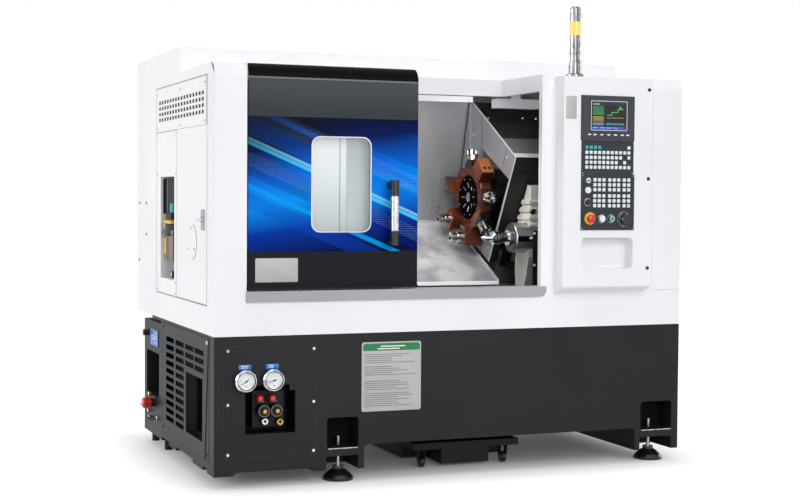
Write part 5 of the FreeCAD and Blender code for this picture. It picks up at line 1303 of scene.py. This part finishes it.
rule = Recipe("ruled_lines", Wide=0.25, Thick=0.0030, Shortest=0.5, Seed=7, Turn=TO_FRONT)
share = rule.node("FunctionNodeRandomValue", output=1, Min=rule["Shortest"], Max=1.0,
                  Seed=rule["Seed"])
line_bar = rule.node("GeometryNodeMeshCube", Size=rule.vector(rule["Wide"], rule["Thick"], 0.0006))
from_left = rule.node("GeometryNodeTransform", Geometry=line_bar,
                      Translation=rule.vector(rule.times(rule["Wide"], 0.5)))
line_points = rule.node("GeometryNodeMeshToPoints", Mesh=rule["Points"])
rule.close(rule.node("GeometryNodeInstanceOnPoints", Points=line_points, Instance=from_left,
                     Rotation=rule["Turn"], Scale=rule.vector(share, 1.0, 1.0)))

heights = [576 - 9.4 * i for i in range(26) if i not in (5, 11, 12, 18)]
rule.make("plate_lines", [(698, -1.7, z) for z in heights], line_grey)
rule.make("plate_heading_lines", [(775, -2.0, 612), (760, -2.0, 601)], white_plastic, Wide=0.13,
          Thick=0.005, Shortest=0.7)
rule.make("gauge_label_lines", [(x, -4.0, z) for x in (121, 246) for z in (543.5, 536.5)],
          white_plastic, Wide=0.036, Thick=0.0032, Shortest=0.6)
screw.make("plate_rivets", [(x, -1.7, z) for x in (694, 964) for z in (622, 326)],
           ground_steel, Radius=0.004, Height=0.0016, Socket=0.3)
print("plates done")

# %% [markdown]
# The turret gets its small parts: cap screws round the black cap and the copper ring, polished
# pins in the eight slots of the cap, and a bright hub. The pins and the hub are what flashes
# white at the middle of the turret on the real machine.

# %% Turret and bed screws
DISC_X, CHEEK_X = 1496, 1557.4


def on_circle_left(x, radius, count, first):
    """Points round the turret's axis, at a depth X."""
    turns = [math.radians(first + 360 * i / count) for i in range(count)]
    return [(x, TURRET_Y + radius * math.cos(t), TURRET_Z + radius * math.sin(t)) for t in turns]


screw.make("cap_rim_screws", on_circle_left(1492, 97, 8, 22.5), ground_steel, "turret",
           Radius=0.0036, Height=0.003, Turn=TO_LEFT)
screw.make("disc_screws",
           on_circle_left(DISC_X, 124, 16, 11.25) + on_circle_left(DISC_X, 150, 8, 22.5),
           dark_coat, "turret", Radius=0.0042, Height=0.0036, Turn=TO_LEFT)
hub, pins = blank(2)
HUB_SECTION = [(0, -1498.3), (24, -1498.3), (24, -1496), (17, -1493.5), (7, -1493), (0, -1494.5)]
add_turned(hub, HUB_SECTION, (TURRET_Y, TURRET_Z), to_left)
for near, far in zip(on_circle_left(1501.5, 48, 8, 0), on_circle_left(1493.6, 74, 8, 0)):
    add_rod(pins, (near, far), 2.8)
piece_of("turret_hub", hub, chrome, "turret")
piece_of("turret_pins", pins, chrome, "turret")

UP_SLOPE = (BED_SLOPE, 0, 0)
screw.make("cover_bolts", [(1571, 572, 1692), (1770, 582, 1697.5), (1845, 581, 1697)],
           ground_steel, "saddle", Radius=0.007, Height=0.005, Turn=UP_SLOPE)
screw.make("cheek_bolts", [(CHEEK_X, y, z) for y, z in (
    (812, 1614), (724, 1615), (535, 1042), (507, 1031), (330, 1490), (700, 1080))],
           ground_steel, "saddle", Radius=0.006, Height=0.004, Turn=TO_LEFT)
screw.make("guard_screws", [(1599, 98, 1120), (1600, 98, 968)], white_plastic, Radius=0.007,
           Height=0.004)
print("turret and bed screws done")

# %% [markdown]
# The lower left of the machine has a gap round the grille, drawn as a dark border of painted
# shade. The hydraulic unit beside it carries a blue plate with pale bars, a small red knob, and a
# column of brass and steel fittings with short pipes.

# %% Grille gap and the hydraulic unit
grille_gap, unit_plate, unit_knob, unit_brass, unit_steel, unit_pipe = blank(6)
add_border(grille_gap, rounded_outline(84, 112, 1034, 664, 9),
           rounded_outline(94, 118, 1024, 657, 6), 0.05, 1.0, to_left)
piece_of("grille_gap", grille_gap, black_and_painted_shade)
add_plate(unit_plate, rounded_outline(1126, 521, 1301, 603, 6), -0.3, 3.8, to_left, 0.5)
for low, end in ((584, 1222), (568, 1284), (555, 1266), (536, 1210)):
    add_plate(unit_steel, rounded_outline(1142, low, end, low + 6, 2, 2), 3.7, 4.2, to_left)
add_turned(unit_knob, button_section(17, -1, 22, 4), (1386, 577), to_left, 24)
for y, z, radius, reach in ((1301, 262, 13, 16), (1301, 206, 15, 12), (1284, 143, 12, 18)):
    add_turned(unit_brass, button_section(radius, -1, reach, 2), (y, z), to_left, 6)
for y, z, radius, reach in ((1301, 232, 10, 22), (1298, 178, 9, 20), (1120, 161, 12, 14)):
    add_turned(unit_steel, button_section(radius, -1, reach, 2), (y, z), to_left, 20)
add_rod(unit_pipe, ((-14, 1120, 161), (-30, 1150, 150), (-30, 1250, 140), (-14, 1284, 143)), 5)
add_rod(unit_pipe, ((-18, 1301, 232), (-34, 1330, 214), (-30, 1402, 196), (2, 1412, 188)), 6)
piece_of("unit_plate", unit_plate, blue_plastic, slot="sheet_steel")
piece_of("unit_knob", unit_knob, red_plastic)
piece_of("unit_brass", unit_brass, brass, slot="copper_holder")
piece_of("unit_steel", unit_steel, ground_steel)
piece_of("unit_pipe", unit_pipe, black_and_painted_shade)
screw.make("grille_corner_screw", [(-3, 112, 640)], chrome, Radius=0.009, Height=0.005,
           Turn=TO_LEFT)
print("grille gap and unit fittings done")

# %% [markdown]
# The nuts of the collet chucks have raised lands between their spanner slots, and a brass rim
# where the nut meets its base. Painted slots would vanish from the side, so the lands are real:
# short rods on a circle, with one loop for all five chucks. One fault is known. The third number
# of AXIAL_CHUCKS is a depth along the turret's axis in the solids, and is used here as a distance
# aside. So the marks, lands and rims of the two axial chucks sit 35 and 56 mm beside their noses.

# %% Collet nuts
NUT_RADIUS, LAND_RADIUS, RADIAL_START = 26, 3.4, 214
ALONG_X, ALONG_Y, ALONG_Z = Vector((1, 0, 0)), Vector((0, 1, 0)), Vector((0, 0, 1))
noses = []
for *place, start in AXIAL_CHUCKS:
    noses.append((Vector((start, *chuck_place(*place))), -ALONG_X, ALONG_Y, ALONG_Z))
for degrees in RADIAL_STATIONS:
    turn = math.radians(degrees)
    outward = Vector((0, -math.sin(turn), math.cos(turn)))
    foot = Vector((RADIAL_X, TURRET_Y, TURRET_Z)) + outward * RADIAL_START
    noses.append((foot, outward, ALONG_X, Vector((0, math.cos(turn), math.sin(turn)))))

lands, rims = blank(2)
for foot, along, side, other in noses:
    for i in range(NUT_SLOTS):
        turn = math.radians(45 + 360 * i / NUT_SLOTS)
        out = (side * math.cos(turn) + other * math.sin(turn)) * NUT_RADIUS
        add_rod(lands, [foot + out + along * step for step in (6, 25)], LAND_RADIUS, 10)
    add_turned(rims, ring_section(24.5, 28.2, 0.5, 4, 0.6), (0, 0),
               lambda u, v, depth: at(*(foot + side * u + other * v + along * depth)), 28)
piece_of("collet_nut_lands", lands, chrome, "turret")
piece_of("collet_nut_rims", rims, brass, "turret", slot="copper_holder")
print("collet nuts:", len(noses))

# %% [markdown]
# The bays above the feet have a worn bright lip, where the spanner rubs each time the machine
# is levelled. The lip is a thin strip on the sheet's lower edge.

# %% Worn lips
lips = bmesh.new()
for left, width in ((520, 151), (2138, 175)):
    add_plate(lips, rounded_outline(left + 6, 154.5, left + width - 4, 158.5, 1.5, 2), -0.2, 0.8)
piece_of("bay_lips", lips, ground_steel)
print("bay lips done")

# %% [markdown]
# The photograph shows neither the back nor the right end, so they follow the usual make of such
# covers: sheets that meet in seams, a cabinet door with hinges and locks, cooling slots, and a
# row of screws wherever a sheet ends. The same helpers serve, with two more facings.

# %% Back and right end
BACK_FACE, RIGHT_FACE, BASE_BACK, ROOF = 1656, 2350, 1272, 1994
PLATE_DEPTHS, SEAM_DEPTHS, SCREW_SEAT = (-0.2, 1.6), (0.02, 0.7), 1.4
CABINET, BACK_LEFT = (836, 745, 1514, 1925), (60, 745, 770, 1925)
BACK_RIGHT, HATCH = (1580, 745, 2290, 1925), (860, 230, 1880, 620)
END_PLATE, END_VENT = (330, 745, 1560, 1560), (330, 1600, 1560, 1900)
TO_BACK = (math.radians(-90), 0, 0)
TO_RIGHT = (0, math.radians(90), 0)


def to_back(u, v, depth):
    """u is the drawing's X, and depth counts out of the back."""
    return at(u, BACK_FACE + depth, v)


def to_right(u, v, depth):
    """u runs to the back, and depth counts out of the right end."""
    return at(RIGHT_FACE + depth, u, v)


def to_base_back(u, v, depth):
    """As to_back, on the back of the base."""
    return at(u, BASE_BACK + depth, v)


def to_roof(u, v, depth):
    """u is the drawing's X and v its Y, and depth counts upwards."""
    return at(u, v, ROOF + depth)


def edge_points(x0, z0, x1, z1, inset, along, up):
    """Points inside a rectangle's edge: so many along each long side and up each short one."""
    points = []
    for i in range(along):
        u = x0 + inset + (x1 - x0 - 2 * inset) * i / (along - 1)
        points += [(u, z0 + inset), (u, z1 - inset)]
    for i in range(1, up - 1):
        v = z0 + inset + (z1 - z0 - 2 * inset) * i / (up - 1)
        points += [(x0 + inset, v), (x1 - inset, v)]
    return points


cover_plates, cover_seams, base_hatch, black_bits = blank(4)
for rect, facing in ((CABINET, to_back), (BACK_LEFT, to_back), (BACK_RIGHT, to_back),
                     (END_PLATE, to_right), (END_VENT, to_right)):
    add_plate(cover_plates, rounded_outline(*rect, 12), *PLATE_DEPTHS, facing, 0.5)
for x in (803, 1547):
    for low, high, facing in ((680, 1990, to_back), (672, 1650, to_roof)):
        add_plate(cover_seams, rounded_outline(x - 2, low, x + 2, high, 1, 1), *SEAM_DEPTHS,
                  facing)
add_plate(cover_seams, rounded_outline(296, 680, 300, 1868, 1, 1), *SEAM_DEPTHS, to_right)
add_plate(base_hatch, rounded_outline(*HATCH, 10), -0.2, 2.0, to_base_back, 0.5)
for z in (860, 1335, 1810):
    add_turned(black_bits, button_section(10, z - 40, z + 40, 2), (830, BACK_FACE + 4), at, 16)
for x, y in ((150, 800), (2200, 800), (150, 1560), (2200, 1560)):
    add_turned(black_bits, button_section(24, -1, 5, 2), (x, y), to_roof, 28)
for x in (330, 400, 470):
    add_turned(black_bits, button_section(19, -2, 16, 3), (x, 720), to_back, 12)
piece_of("cover_plates", cover_plates, white_coat)
piece_of("cover_seams", cover_seams, seam_grey)
piece_of("base_hatch", base_hatch, black_coat)
piece_of("plugs_and_hinges", black_bits, black_plastic)

locks = bmesh.new()
for z in (960, 1700):
    add_turned(locks, button_section(15, -1, 6, 2), (1486, z), to_back, 24)
    add_plate(locks, rounded_outline(1481, z - 11, 1491, z + 11, 3), 5.5, 9, to_back, 1)
piece_of("cabinet_locks", locks, chrome)
back_screws = [(u, BACK_FACE + SCREW_SEAT, v) for rect in (BACK_LEFT, BACK_RIGHT)
               for u, v in edge_points(*rect, 22, 4, 5)]
screw.make("back_screws", back_screws, ground_steel, Radius=0.0055, Turn=TO_BACK)
screw.make("right_end_screws", [(RIGHT_FACE + SCREW_SEAT, u, v) for rect in (END_PLATE, END_VENT)
                                for u, v in edge_points(*rect, 22, 5, 3)],
           ground_steel, Radius=0.0055, Turn=TO_RIGHT)
screw.make("hatch_screws", [(u, BASE_BACK + 1.8, v) for u, v in edge_points(*HATCH, 24, 5, 3)],
           chrome, Radius=0.0065, Turn=TO_BACK)
screw.make("roof_screws", [(x, y, ROOF - 0.2)
                           for x in (40, 420, 780, 826, 1175, 1524, 1570, 1930, 2310)
                           for y in (690, 1620)],
           ground_steel, Radius=0.0055, Turn=UPRIGHT)
# Dark plates where the cooling slots are: painted shade.
end_slots = [(RIGHT_FACE + 1.5, 430 + 62 * i, 1665 + 85 / 3 * j)
             for i in range(17) for j in range(7)]
key.make("end_vent_slots", end_slots, black_and_painted_shade, Width=0.013, Tall=0.042, Corner=0.006,
         Rise=0.0006, Taper=1.0, Turn=TO_RIGHT)
back_slots = [(x + 56 * i, BACK_FACE + 1.5, 1560 + 28 * j)
              for x in (191, 1711) for i in range(9) for j in range(10)]
key.make("back_vent_slots", back_slots, black_and_painted_shade, Width=0.040, Tall=0.013, Corner=0.006,
         Rise=0.0006, Taper=1.0, Turn=TO_BACK)
print("back and right end done:", len(back_screws), "back screws")
